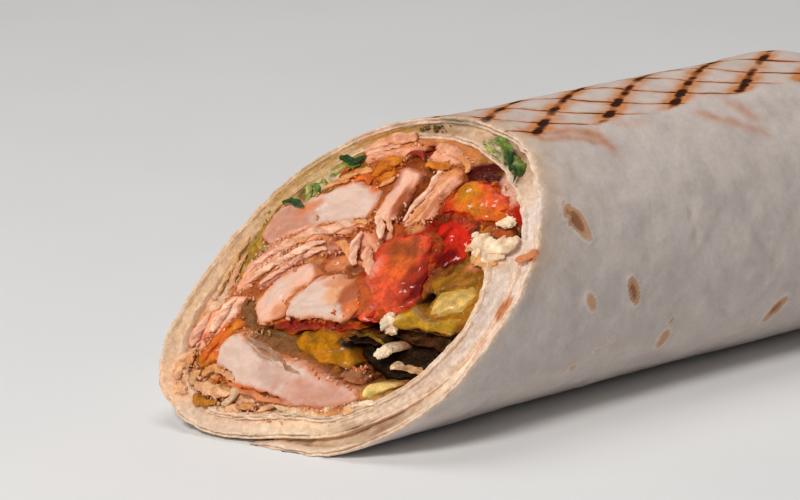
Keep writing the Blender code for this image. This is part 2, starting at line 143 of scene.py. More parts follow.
INNER_RINGS = np.array([2.0, 4.5, 8.0, 14.0, 24.0, 40.0, 62.0, 78.0])
FACE_STEP = 0.21  # size of a facet on a cut face
SIDE_SHARES = (0.07, 0.2, 0.42, 0.7)  # rings on a piece's side between the cut face and the first plain ring
OUTLINE_STATIONS = 40  # stations along a piece's outline
LINE_TRIES = 81  # places tried along a piece's middle line, and out from it
EDGE_TRIES = 60
MEETING_GAP = 0.1  # left between neighbours at the cut
NEAR_BY = 4.0  # a piece further off than this is no neighbour
END_GROWTH = 1.2  # how much further a piece's ends may reach
EDGE_PUSH = 0.16  # how far a piece's edge wanders
FACE_SWELL = 0.45  # height of the broad swellings of a cut face
MOST_DROP = 1.15  # most that the corners of a face are rounded back, against its edge
CRUST_RELIEF = 0.36  # relief along the browned edges of meat, and on a piece's sides
SIDE_RELIEF = 0.14
STRIP_SAMPLES = 31  # places along a piece, to find how far a point lies from it
PLACE_LIMIT = 3.5  # most that a dressed piece may lie off its solid
BROWNED_SIZE = 0.24  # of the browned crumbs
# Form of a piece at the cut, by look: how far it may grow toward its neighbours, how deep its edge is
# rounded back, and how sharply
CUT_FORM = {
    "white_meat": (1.3, 0.55, 9), "roast_meat": (1.2, 0.8, 5), "dark_meat": (1.1, 0.8, 5),
    "tomato": (1.4, 0.8, 6), "pepper": (1.2, 0.8, 5), "pickle": (1.3, 0.9, 5),
    "dark_pickle": (1.6, 0.8, 6), "lettuce": (0.35, 0.7, 4), "onion": (0.6, 0.9, 4),
    "sauce": (1.0, 1.0, 4),
}

# Grill marks, in the plan of the roll's top
MARK_ANGLE = math.radians(34.5)  # the thick marks run this far off the roll
MARK_STEP = 11.0
MARK_START = -23.2
CROSS_STEP = 14.0  # the thin marks cross them
CROSS_START = 46.0
CROSS_BEND = (0.4, 0.111, 0.6)  # their slope and curve on the near side, and slope on the far side
RIDGE = -2.5  # y of the line where the thin marks start to curve
PRESSED = (-15.8, 12.5)  # the press reached from here to here across the top

# Soft brown spots on the outer skin: place along the roll, turn, length along the roll, length round it,
# lean, strength
BLISTERS = (
    (35.5, 0.323, 2.6, 5.4, 0.5, 1.0), (48.4, 0.24, 1.8, 4.0, 0.34, 1.0),
    (36.2, 0.24, 1.8, 2.8, 0.35, 0.55), (59.7, 0.174, 2.0, 3.6, -0.1, 0.6),
    (60.4, 0.196, 0.9, 1.0, 0.0, 0.65), (92.4, 0.176, 2.3, 4.0, -0.6, 0.85),
    (34.6, 0.168, 1.0, 1.4, 0.0, 0.6), (40.0, 0.184, 0.8, 1.2, 0.0, 0.5),
    (43.8, 0.192, 0.9, 1.0, 0.0, 0.5), (104.0, 0.3, 2.2, 2.6, 0.3, 0.35), (20.0, 0.69, 2.4, 3.6, 0.2, 0.8),
    (72.0, 0.68, 2.0, 3.0, 0.3, 0.7), (108.0, 0.7, 2.2, 2.8, -0.3, 0.65),
    (47.0, 0.745, 1.6, 2.4, -0.2, 0.5), (88.0, 0.79, 1.6, 2.2, 0.0, 0.5), (30.0, 0.9, 1.8, 2.6, 0.2, 0.5),
    (116.0, 0.56, 2.2, 1.8, 0.0, 0.4),
)
# Orange wisps beside the grill marks: the two ends as place along the roll and turn, then width and
# strength
WISPS = (
    (40.0, 0.433, 47.5, 0.428, 1.7, 1.0), (47.5, 0.428, 52.0, 0.417, 2.0, 1.0),
    (52.0, 0.417, 53.8, 0.394, 1.8, 0.9), (34.6, 0.469, 37.3, 0.465, 1.0, 0.9),
    (36.4, 0.445, 39.4, 0.421, 1.1, 1.0), (39.4, 0.421, 46.0, 0.419, 1.2, 0.8),
    (46.0, 0.419, 50.5, 0.404, 1.0, 0.7), (82.4, 0.413, 88.1, 0.395, 1.5, 0.6),
    (88.1, 0.395, 95.0, 0.371, 1.5, 0.65), (92.6, 0.417, 94.4, 0.394, 1.8, 0.6),
    (60.0, 0.424, 66.0, 0.42, 1.8, 0.3), (44.0, 0.6, 52.0, 0.588, 1.5, 0.5),
    (84.0, 0.604, 92.0, 0.59, 1.5, 0.5),
)
# Dented creases: the two ends as place along the roll and turn, then depth and width
CREASES = (
    (65.9, 0.314, 66.7, 0.29, 0.55, 0.8), (66.7, 0.292, 66.2, 0.268, 0.55, 0.8),
    (69.4, 0.277, 72.6, 0.267, 0.4, 1.7), (74.0, 0.199, 79.2, 0.176, 0.45, 0.8),
    (86.0, 0.352, 87.0, 0.34, 0.3, 0.8), (42.0, 0.352, 60.0, 0.33, 0.18, 1.6),
    (72.0, 0.25, 84.0, 0.215, 0.2, 1.4), (30.0, 0.3, 40.0, 0.262, 0.2, 1.2),
    (80.0, 0.3, 88.0, 0.24, 0.22, 1.3), (60.4, 0.376, 62.4, 0.364, 0.35, 0.7),
    (52.6, 0.33, 53.8, 0.312, 0.3, 0.8), (95.0, 0.33, 108.0, 0.3, 0.2, 1.6),
    (25.0, 0.76, 48.0, 0.72, 0.22, 1.5), (70.0, 0.74, 94.0, 0.76, 0.2, 1.4),
    (50.0, 0.15, 70.0, 0.13, 0.2, 1.5),
)

# Palette, as red, green and blue in linear light
TINTS = {
    "bread": (0.66, 0.575, 0.525), "crumb": (0.86, 0.63, 0.46), "bread_inside": (0.78, 0.53, 0.37),
    "flour": (0.8, 0.66, 0.58), "wisp": (0.58, 0.21, 0.075), "warm_crumb": (0.74, 0.48, 0.28),
    "bread_grey": (0.4, 0.29, 0.19), "tan": (0.36, 0.19, 0.095), "orange_crumb": (0.78, 0.38, 0.14),
    "white": (0.8, 0.575, 0.475), "rose": (0.64, 0.27, 0.175), "apricot": (0.9, 0.43, 0.26),
    "salmon": (0.95, 0.53, 0.37), "blush": (0.66, 0.42, 0.34), "pale_meat": (1.0, 0.6, 0.42),
    "torn": (0.98, 0.74, 0.5), "ginger": (0.72, 0.25, 0.1), "honey": (0.84, 0.37, 0.14),
    "amber": (0.7, 0.21, 0.014), "tangerine": (0.8, 0.16, 0.016), "rust": (0.42, 0.085, 0.018),
    "umber": (0.22, 0.045, 0.01), "cocoa": (0.1, 0.032, 0.009), "char": (0.045, 0.014, 0.004),
    # The first colour on the next line is near black: painted shade in the hollows and gaps, and the dark
    # slices' own colour deepened by painted shade
    "soot": (0.01, 0.005, 0.003), "crimson": (0.32, 0.022, 0.008), "maroon": (0.15, 0.002, 0.001),
    "wine": (0.1, 0.006, 0.004), "scarlet": (0.66, 0.02, 0.005), "coral": (0.78, 0.1, 0.035),
    "pink_flesh": (0.82, 0.3, 0.2), "ochre": (0.66, 0.23, 0.01), "mustard": (0.5, 0.185, 0.003),
    "swamp": (0.34, 0.13, 0.01), "chartreuse": (0.5, 0.26, 0.012), "celery": (0.7, 0.44, 0.13),
    "olive": (0.22, 0.105, 0.01), "bark": (0.24, 0.1, 0.035), "grey": (0.44, 0.26, 0.16),
    "khaki": (0.46, 0.26, 0.028), "cream": (0.92, 0.62, 0.38), "curd": (0.78, 0.44, 0.2),
    "onion_pale": (0.95, 0.66, 0.22), "butter": (0.94, 0.5, 0.26), "curry": (0.5, 0.19, 0.018),
    "leaf": (0.2, 0.25, 0.03), "leaf_pale": (0.62, 0.47, 0.26), "leaf_dark": (0.026, 0.075, 0.016),
    "leaf_bright": (0.17, 0.27, 0.045), "leaf_fresh": (0.4, 0.43, 0.12),
}

# How much the pieces of filling that thin toward one end lean, and how much the leaves wave
LEAN = {"meat_block": -0.28, "meat_wedge": 0.35}
WAVE = {"lettuce_far": 0.2, "lettuce_curl": 0.35, "lettuce_low": 0.25, "lettuce_near": 0.15}
# How much of its red, green and blue a piece loses down its sides, as painted shade where they run back from
# the cut, and how much of the colour of the rims the sauce between them keeps, the loss partly the sauce's
# own darker colour and partly painted shade in the creases
SIDE_SHADE = (0.5, 0.72, 0.8)
BED_SHADE = (0.78, 0.64, 0.50)

# Each piece of filling: name, look, y0, z0, y1, z1, half thickness, bow, blunt and out, as the solids have
# them, then the tint of its cut face and of its rim, and how wide the rim is
PIECES = (
    ("meat_block", "white_meat", 23.8, 37.6, 4.3, 46.4, 3.9, 1.0, 3.2, 1.5, "white", "ginger", 0.5),
    ("meat_arch", "roast_meat", 22.4, 26.6, 2.6, 42.2, 1.9, 4.0, 3.0, 1.2, "apricot", "ginger", 0.5),
    ("meat_fold", "roast_meat", 19.0, 28.0, 4.6, 37.8, 1.9, 3.0, 3.0, 0.2, "rose", "rust", 0.45),
    ("meat_sliver", "roast_meat", 8.8, 33.4, -2.0, 32.6, 1.5, 1.6, 3.0, -0.6, "ginger", "umber", 0.5),
    ("meat_stub", "white_meat", 9.6, 33.6, 14.0, 22.4, 2.9, 0.6, 3.0, 1.0, "salmon", "ginger", 0.6),
    ("meat_almond", "white_meat", 10.3, 26.3, -5.6, 27.0, 3.6, 1.6, 2.4, 1.5, "white", "ginger", 0.5),
    ("meat_strand", "white_meat", 5.8, 40.8, -5.2, 32.4, 1.4, 0.4, 3.0, -0.4, "apricot", "ginger", 0.4),
    ("meat_slab", "white_meat", 0.6, 42.6, 1.6, 52.6, 3.3, 0.2, 2.1, 1.0, "salmon", "rust", 0.45),
    # The brown edge stands where the slab's right side lies in shade: its rust and umber tints are painted
    # shade
    ("meat_brown_edge", "roast_meat", -3.2, 51.8, -3.0, 43.0, 1.3, 0.0, 3.0, -1.5, "rust", "umber", 0.5),
    ("meat_ribbon", "roast_meat", -8.0, 54.0, -3.6, 40.6, 2.2, 1.2, 3.0, 1.5, "apricot", "rust", 0.45),
    ("meat_curl", "roast_meat", 3.2, 43.2, -2.8, 38.8, 1.4, 0.4, 3.0, -1.0, "apricot", "ginger", 0.4),
    ("meat_golden", "roast_meat", 9.4, 51.6, 3.0, 48.0, 2.6, 0.3, 2.6, 0.4, "amber", "rust", 0.5),
    ("meat_top_strip", "roast_meat", 13.2, 52.6, 1.6, 55.8, 1.1, 0.8, 3.0, 0.6, "apricot", "ginger", 0.5),
    ("meat_dark_core", "dark_meat", 2.8, 54.4, -1.8, 53.2, 1.1, 0.0, 3.0, -2.0, "crimson", "umber", 0.5),
    ("meat_browned", "roast_meat", -0.6, 54.4, -10.2, 54.6, 2.2, 0.8, 3.0, 0.6, "apricot", "honey", 0.5),
    # The shred lies along a dark gap: its wine face and near-black rim are partly its own dark red, partly
    # painted shade
    ("meat_shred", "dark_meat", -10.0, 53.0, -20.6, 49.0, 0.75, 1.1, 3.0, -1.5, "wine", "soot", 0.4),
    ("meat_wedge", "white_meat", 17.4, 18.6, -15.6, 13.2, 2.7, -1.6, 3.2, 2.2, "white", "ginger", 0.55),
    # The thin skin's bark tint is painted shadow of the crevice beside it
    ("meat_skin", "white_meat", 20.0, 25.2, 12.2, 21.2, 0.8, -0.4, 3.0, 0.2, "bark", "olive", 0.5),
    ("meat_salmon", "roast_meat", 20.6, 26.6, 21.9, 18.6, 1.7, 0.2, 3.0, 0.2, "salmon", "ginger", 0.5),
    ("meat_side_bit", "roast_meat", 24.4, 23.6, 24.0, 15.4, 1.2, 0.2, 2.6, -0.3, "apricot", "ginger", 0.5),
    ("meat_orange", "roast_meat", 18.8, 22.6, 20.0, 12.8, 2.0, 0.0, 3.0, 0.5, "amber", "rust", 0.5),
    ("meat_ring", "sauce", 20.6, 13.2, 11.2, 12.2, 1.5, -0.4, 2.6, 0.0, "honey", "curry", 0.5),
    ("meat_scrap", "roast_meat", -3.5, 17.0, -14.2, 15.2, 0.9, 0.2, 3.0, -0.8, "ginger", "cocoa", 0.45),
    ("sauced_strip", "dark_meat", 13.0, 22.2, -7.4, 23.8, 1.0, 0.1, 3.2, -0.8, "crimson", "tangerine", 0.35),
    ("tomato_wedge", "tomato", -5.6, 41.2, -9.6, 25.8, 6.5, 0.0, 2.6, 0.6, "coral", "scarlet", 0.7),
    ("tomato_slice", "tomato", -9.0, 48.0, -24.4, 46.0, 3.2, 0.7, 2.8, 0.6, "tangerine", "scarlet", 0.6),
    ("tomato_core", "tomato", -12.6, 45.0, -16.4, 36.4, 4.1, 0.0, 2.6, -0.4, "scarlet", "maroon", 0.8),
    ("pepper_tip", "pepper", -17.6, 44.0, -26.8, 43.0, 1.5, 0.2, 3.0, -0.8, "rust", "cocoa", 0.4),
    ("pickle_cap", "pickle", -16.0, 32.6, -26.4, 36.6, 3.2, 0.9, 3.0, -0.5, "swamp", "olive", 0.6),
    ("pickle_lobe", "pickle", -18.6, 30.2, -28.4, 31.4, 2.8, 0.0, 3.2, 0.5, "celery", "chartreuse", 0.7),
    ("pickle_rim", "pickle", -9.8, 27.2, -28.4, 26.6, 1.3, -0.2, 3.2, 1.5, "chartreuse", "swamp", 0.4),
    ("pepper_yellow", "pepper", 4.8, 21.0, -9.6, 16.8, 2.2, 0.6, 2.8, -0.5, "mustard", "swamp", 0.4),
    ("pepper_skin", "pepper", 13.0, 20.6, 1.6, 17.6, 0.8, -0.3, 3.0, -1.0, "bark", "olive", 0.4),
    # The dark slices lie deep in the hollow at the lower right: their near-black tints are their own dark
    # colour deepened by painted shade
    ("dark_slice_top", "dark_pickle", -10.6, 24.4, -28.4, 23.6, 1.3, 0.0, 3.2, -2.6, "char", "soot", 0.3),
    ("dark_slice_middle", "dark_pickle", -3.6, 22.6, -15.6, 20.6, 1.1, 0.5, 3.0, -1.6, "char",
     "olive", 0.25),
    ("dark_slice_low", "dark_pickle", -7.6, 20.0, -27.0, 18.2, 2.1, 0.0, 3.0, -3.4, "soot", "soot", 0.4),
    ("lettuce_far", "lettuce", 22.2, 43.8, 12.8, 53.4, 0.55, 1.0, 4.0, 0.2, "leaf_pale", "leaf_fresh", 0.3),
    ("lettuce_curl", "lettuce", 19.8, 43.6, 10.8, 50.6, 1.1, 0.8, 4.0, 0.6, "leaf_pale", "leaf", 0.35),
    ("lettuce_low", "lettuce", 26.4, 39.4, 24.0, 28.2, 0.8, 0.5, 4.0, -0.4, "khaki", "olive", 0.4),
    ("lettuce_near", "lettuce", -8.6, 58.4, -20.2, 53.4, 0.55, 1.1, 4.0, 0.8, "leaf_fresh",
     "leaf_bright", 0.25),
    ("onion_bit", "onion", 24.2, 36.0, 20.0, 33.2, 0.9, 0.0, 3.0, 0.0, "khaki", "curry", 0.4),
    ("onion_shred", "onion", -15.0, 14.0, -20.6, 15.0, 0.9, -0.2, 3.0, 0.4, "onion_pale", "celery", 0.5),
    ("cream_bit", "sauce", -13.5, 21.2, -16.9, 20.7, 0.9, 0.0, 3.0, 0.8, "torn", "cream", 0.3),
    ("sauce_layer", "sauce", 24.4, 14.8, 0.5, 10.0, 0.9, -2.7, 3.4, -0.6, "butter", "curry", 0.5),
)

# Patches of another tint on the cut: y, z, half size across and up, turned anticlockwise in degrees,
# strength
PATCHES = (
    ("rose", 19.4, 40.2, 5.4, 3.8, 30, 0.9), ("salmon", 17.4, 38.4, 2.6, 0.8, 30, 0.6),
    ("tangerine", 11.0, 50.0, 4.6, 1.0, 22, 0.95), ("tangerine", 6.0, 48.4, 1.3, 1.0, -40, 0.8),
    ("ginger", 17.2, 43.4, 2.8, 1.0, 30, 0.9), ("umber", 12.6, 40.4, 0.45, 0.7, 0, 0.7),
    ("ginger", 9.6, 50.6, 3.4, 0.8, 10, 0.7), ("ginger", 5.0, 41.6, 3.0, 0.8, 10, 0.8),
    ("ginger", 14.0, 38.4, 4.6, 0.4, 36, 0.6), ("rust", 9.6, 37.4, 3.4, 0.35, 34, 0.6),
    ("rust", 8.4, 34.2, 1.6, 1.0, 30, 0.85), ("umber", 1.0, 33.8, 3.0, 0.8, 4, 0.9),
    ("salmon", 18.6, 33.0, 3.4, 3.0, 0, 0.9), ("salmon", 15.8, 33.4, 2.6, 1.6, 45, 0.7),
    ("rose", 12.8, 35.4, 3.0, 0.9, 36, 0.5), ("honey", 0.4, 30.0, 3.2, 2.2, 10, 0.75),
    ("rust", -1.8, 29.8, 1.9, 2.6, 10, 0.9), ("tangerine", -4.2, 27.6, 2.0, 2.0, 0, 0.85),
    ("ginger", 2.0, 31.4, 2.4, 1.0, 10, 0.8), ("ginger", 11.0, 25.0, 1.5, 1.2, 0, 0.8),
    ("ginger", 9.4, 29.0, 0.9, 1.4, -20, 0.6), ("white", 13.2, 28.4, 1.8, 3.2, -20, 0.75),
    ("white", 10.0, 32.2, 1.4, 1.4, 0, 0.5), ("white", 2.4, 49.0, 1.4, 2.4, 0, 0.5),
    # Painted shade: the rust patch at y -0.8 and the umber one at y -2 darken the slab's right side
    ("ginger", 3.4, 45.2, 0.8, 2.2, 0, 0.6), ("rust", -0.8, 46.4, 1.1, 3.8, 4, 0.95),
    ("umber", -2.0, 45.4, 0.9, 2.8, 0, 0.9), ("honey", -6.2, 43.6, 1.4, 2.8, 0, 0.35),
    ("rust", -7.8, 46.6, 0.6, 4.0, -10, 0.7), ("salmon", -4.8, 50.0, 1.2, 3.0, 0, 0.8),
    ("tangerine", 9.2, 50.9, 1.4, 0.9, 0, 0.8), ("rust", 3.0, 50.2, 1.0, 2.4, 10, 0.8),
    ("crimson", 0.8, 54.6, 2.2, 0.9, 0, 0.8), ("ochre", 5.4, 52.8, 1.6, 1.6, 0, 0.6),
    ("amber", -7.0, 52.8, 3.2, 0.9, 4, 0.6), ("apricot", -3.2, 55.4, 2.0, 0.9, 0, 0.7),
    ("rust", -10.0, 54.6, 1.6, 0.9, -20, 0.7), ("white", 12.4, 15.6, 3.8, 2.2, -30, 0.7),
    ("grey", 9.6, 18.6, 4.6, 0.9, -26, 0.9), ("blush", 3.6, 14.4, 5.4, 2.0, -12, 0.85),
    # Painted shadow: the bark patch at y 13 darkens the foot of the crevice beside the thin skin
    ("bark", 13.0, 20.6, 2.4, 0.7, -30, 0.7), ("rose", -7.0, 12.4, 8.5, 3.0, -2, 0.75),
    ("tangerine", 5.0, 11.2, 7.4, 0.8, -8, 0.9), ("rust", 0.6, 10.8, 4.4, 0.5, 0, 0.7),
    ("ginger", 17.0, 15.6, 0.7, 2.6, 20, 0.6), ("tangerine", 14.2, 12.6, 2.0, 0.8, -40, 0.8),
    ("white", 21.6, 23.4, 1.4, 2.2, 20, 0.8), ("coral", 24.2, 18.2, 1.6, 0.8, 0, 0.6),
    ("tangerine", 18.8, 17.4, 1.4, 3.0, 0, 0.8), ("curry", 20.6, 14.4, 1.8, 1.0, 0, 0.7),
    ("curd", 17.6, 12.6, 2.2, 0.8, 10, 0.8), ("swamp", 15.6, 9.2, 3.0, 0.7, 6, 0.8),
    ("curry", 12.4, 8.6, 3.2, 1.0, 0, 0.55), ("rust", -7.4, 38.4, 3.8, 2.6, -10, 0.95),
    # Painted shade: the crimson patch at y -12.4 and the maroon one at y -14.2 darken the tomato's right
    # side over its deep red
    ("tangerine", -8.6, 35.4, 3.2, 2.0, 0, 0.45), ("crimson", -12.4, 34.0, 2.2, 5.0, -12, 0.85),
    ("maroon", -14.2, 33.0, 1.5, 4.6, -12, 0.95), ("pink_flesh", -3.4, 34.6, 1.0, 2.0, 0, 0.65),
    ("pink_flesh", -5.0, 29.0, 1.2, 2.4, 20, 0.45), ("coral", -7.8, 28.4, 3.0, 2.0, 0, 0.8),
    ("coral", -2.6, 29.6, 1.0, 2.0, 0, 0.5), ("ochre", -12.9, 49.6, 2.4, 1.9, -20, 0.95),
    ("ochre", -15.8, 47.0, 2.2, 1.2, -10, 0.6), ("coral", -19.4, 49.4, 2.4, 2.4, 0, 0.7),
    ("scarlet", -10.6, 46.4, 1.8, 1.6, 0, 0.85), ("maroon", -10.0, 44.6, 0.9, 1.8, 0, 0.7),
    ("tangerine", -20.4, 46.4, 2.4, 1.2, 0, 0.6), ("scarlet", -14.4, 42.4, 2.2, 2.2, 0, 0.9),
    # Painted shade: the maroon patches at y -15.4 and -12.2 darken the tomato where it turns away into
    # shadow
    ("maroon", -15.4, 37.4, 2.4, 2.4, 0, 1.0), ("maroon", -12.2, 40.0, 0.9, 3.0, -20, 0.8),
    ("coral", -16.6, 44.4, 1.6, 1.4, 0, 0.7), ("ochre", -19.6, 43.8, 1.4, 1.2, 0, 0.7),
    # Painted shade: the ginger patch at y -23 darkens what lies under the torn bread's shelf
    ("ginger", -23.0, 37.2, 2.8, 1.1, 10, 0.85), ("cocoa", -16.2, 30.6, 0.9, 2.0, -20, 0.8),
    ("swamp", -26.0, 34.0, 1.4, 2.0, 0, 0.75), ("chartreuse", -24.6, 28.6, 3.0, 0.7, 0, 0.7),
    ("cream", -12.4, 25.8, 1.2, 1.2, 0, 0.95), ("celery", -13.6, 27.4, 2.6, 0.6, 0, 0.8),
    # Painted shade: the near-black patches at y -7.6, -12 and -5.2 darken the dark slices over their own
    # dark colour
    ("swamp", -20.0, 25.6, 5.0, 0.45, 0, 0.85), ("soot", -7.6, 21.4, 4.6, 1.5, -14, 1.0),
    ("ochre", -2.4, 18.2, 3.0, 0.9, -20, 0.6), ("swamp", 2.6, 21.4, 2.6, 0.8, -20, 0.8),
    ("bark", -9.8, 16.2, 2.8, 0.9, -18, 0.8), ("cocoa", -12.6, 15.4, 1.4, 0.5, -10, 0.7),
    ("soot", -12.0, 22.0, 3.4, 0.9, -6, 1.0), ("soot", -5.2, 22.4, 1.8, 0.8, -10, 0.9),
    # Painted shade: the olive patch at y 21.4 darkens the lettuce where it lies in shadow
    ("ochre", -4.6, 17.2, 2.4, 1.1, -20, 0.9), ("olive", 21.4, 45.6, 1.3, 1.2, 0, 0.8),
    ("leaf_dark", 21.6, 43.4, 2.0, 0.9, -8, 1.0), ("leaf_dark", 14.8, 52.4, 2.4, 0.9, 0, 0.95),
    ("leaf_fresh", 19.4, 45.8, 1.0, 1.6, 0, 0.8), ("leaf_dark", -16.8, 56.2, 2.4, 0.4, -36, 0.95),
    ("leaf_pale", -12.6, 57.8, 2.4, 0.5, -20, 0.7), ("leaf_dark", -19.8, 54.4, 1.8, 0.5, -45, 0.8),
    ("olive", 24.8, 37.6, 1.0, 2.6, 0, 0.7), ("leaf", 13.0, 50.6, 1.6, 1.2, 0, 0.5),
    ("leaf_fresh", 16.8, 49.4, 1.6, 0.6, 45, 0.4), ("chartreuse", -17.8, 13.8, 1.2, 0.7, 0, 0.5),
)

# Hollows where the sauce between the pieces falls away: y, z, half size across and up, depth
HOLLOWS = (
    (-0.9, 39.0, 1.3, 1.5, 7.0), (8.0, 9.2, 2.6, 1.2, 3.5), (9.6, 5.5, 0.7, 0.6, 3.0),
    (15.8, 26.0, 0.9, 1.5, 5.0), (-16.0, 20.0, 9.0, 5.0, 6.0), (-23.0, 20.0, 6.0, 5.0, 6.0),
    (-8.2, 50.6, 0.8, 2.2, 4.0), (13.4, 11.2, 0.7, 0.8, 3.0), (-23.4, 43.6, 2.8, 0.7, 4.0),
    (5.4, 49.8, 0.6, 0.9, 3.0), (-18.0, 15.8, 6.0, 1.2, 3.0), (5.0, 21.4, 6.0, 0.8, 2.5),
    (-17.0, 30.0, 1.0, 1.6, 4.0), (-8.0, 24.6, 3.4, 1.2, 5.0), (9.6, 21.0, 3.0, 0.8, 3.0),
    (0.6, 55.6, 1.8, 0.8, 2.0),
)
# Colours of the sauce between the pieces: tint, y, z, half size across and up, turn in degrees, strength
# Painted shade: the near-black patches, the umber one at y 7.6, the bark and cocoa ones at y 8 and 7, the
# cocoa one under the torn bread and the wine ones at the top right darken the sauce in its gaps and hollows
SAUCE_PATCHES = (
    ("butter", 24.0, 8.0, 8.0, 4.5, 0, 1.0), ("butter", 26.4, 26.0, 2.4, 10.0, 0, 0.8),
    ("butter", 3.0, 8.4, 12.0, 2.0, 0, 0.9), ("cream", -6.0, 7.8, 7.0, 1.8, 0, 0.9),
    ("crimson", 0.8, 55.6, 2.2, 1.0, 0, 0.9), ("wine", -12.6, 53.8, 3.4, 1.0, 12, 1.0),
    # Painted shade: the olive patch at y 21.6 darkens the sauce beside the shadowed lettuce
    ("olive", 21.6, 45.8, 1.6, 1.4, 0, 0.8), ("honey", 15.0, 34.6, 6.0, 4.0, 30, 0.7),
    ("honey", -6.0, 42.8, 2.0, 1.6, 0, 0.7), ("honey", 8.0, 55.6, 6.0, 2.2, 10, 0.8),
    ("swamp", 15.6, 8.8, 3.4, 1.2, 0, 0.8), ("umber", 7.6, 9.2, 1.8, 1.0, 0, 0.9),
    ("soot", -16.6, 20.2, 11.4, 5.6, 0, 1.0), ("tangerine", 10.0, 50.0, 5.0, 1.4, 20, 0.8),
    ("soot", -14.6, 17.6, 4.0, 1.6, 0, 1.0), ("bark", 8.0, 19.8, 5.4, 1.8, -15, 0.9),
    ("cocoa", 7.0, 21.4, 5.0, 0.7, -5, 0.9), ("crumb", 25.8, 30.0, 2.2, 8.0, 0, 0.7),
    ("soot", -8.0, 24.6, 4.0, 1.6, -10, 1.0), ("soot", -17.0, 30.0, 1.4, 2.2, 0, 0.95),
    ("soot", 15.8, 26.2, 1.1, 1.8, 0, 0.9), ("olive", 25.0, 44.0, 1.8, 5.0, 0, 0.8),
    ("khaki", 25.4, 36.0, 1.8, 6.0, 0, 0.9), ("curd", 22.0, 50.0, 4.0, 3.0, 0, 0.8),
    ("salmon", -19.8, 51.2, 4.4, 1.7, -40, 0.9), ("wine", -10.6, 51.4, 1.6, 3.0, 20, 0.9),
    ("cocoa", -23.6, 43.6, 3.0, 1.0, -8, 0.95), ("soot", -0.9, 39.0, 1.4, 1.6, 0, 1.0),
    ("curd", 4.0, 58.6, 6.0, 0.8, 0, 0.6),
)
# Loose crumbs and bits on the cut: tint, y, z, half size across and up, count, size, and how far ahead of
# the cut
CRUMBS = (
    ("crumb", -14.4, 12.0, 1.8, 0.9, 30, 0.3, 0.9), ("crumb", -4.0, 9.6, 9.0, 0.8, 40, 0.26, 0.2),
    ("olive", 3.4, 59.6, 3.4, 0.5, 12, 0.34, -0.5), ("leaf_dark", 1.4, 60.0, 1.6, 0.4, 5, 0.4, -0.5),
    ("butter", 21.0, 11.0, 3.4, 2.6, 60, 0.3, 0.2), ("butter", 24.0, 14.0, 1.6, 3.0, 40, 0.32, 0.0),
    ("butter", 6.0, 7.6, 9.0, 1.2, 70, 0.32, 0.4), ("apricot", 16.0, 34.6, 4.0, 2.2, 60, 0.3, 1.6),
    ("butter", 25.4, 30.0, 1.2, 5.0, 14, 0.3, -0.2), ("khaki", 25.0, 38.0, 1.0, 4.0, 14, 0.3, -0.4),
    ("amber", -17.0, 51.0, 5.0, 1.2, 10, 0.3, -0.4), ("tangerine", 11.0, 50.2, 4.0, 0.8, 70, 0.34, 0.9),
    ("ginger", 10.0, 37.4, 4.4, 0.8, 50, 0.28, 0.0), ("tangerine", 3.6, 41.4, 3.4, 0.8, 40, 0.3, 0.3),
    ("ginger", -1.0, 46.4, 0.9, 4.0, 24, 0.3, 0.0), ("tangerine", 8.0, 11.6, 7.0, 0.8, 60, 0.3, 0.4),
    ("apricot", 20.4, 33.4, 1.6, 3.0, 60, 0.32, 1.2), ("honey", 16.0, 37.6, 4.0, 1.2, 50, 0.3, 0.8),
    ("tangerine", -2.0, 27.2, 3.0, 1.2, 40, 0.32, 1.2), ("curd", 13.0, 20.6, 3.0, 0.7, 24, 0.3, 0.2),
    ("ginger", -4.8, 53.4, 3.4, 1.0, 40, 0.3, 0.4), ("crimson", 4.0, 24.2, 7.0, 0.6, 40, 0.3, -0.2),
)
RIM_CRUMBS = 800  # crumbs along the browned edges of the meat
# Points of the sauce between the pieces, round the roll and out from its middle, and of the crumb between
# the layers, along the sheet and across
BED_TURNS = 520
BED_RINGS = 150
FOLD_STATIONS = 900
FOLD_COLUMNS = 13
# How far the crumb between the layers stands back from their edges at each turn, and its tint
FOLD_BACK = (
    (0.0, 1.2), (0.05, 2.8), (0.12, 2.6), (0.18, 0.9), (0.3, 0.5), (0.4, 0.6), (0.5, 0.9), (0.6, 0.5),
    (0.75, 0.25), (0.9, 0.25), (1.0, 0.35), (1.1, 0.4), (1.2, 0.5), (1.335, 0.5),
)
FOLD_TINTS = (
    (0.0, "bread_inside"), (0.03, "tan"), (0.07, "tan"), (0.13, "tan"), (0.18, "crumb"), (0.3, "flour"),
    (0.36, "crumb"), (0.42, "tan"), (0.5, "warm_crumb"), (0.58, "khaki"), (0.66, "curd"),
    (0.8, "warm_crumb"), (0.95, "bread_inside"), (1.05, "bread_inside"), (1.15, "crumb"), (1.25, "flour"),
    (1.34, "crumb"),
)
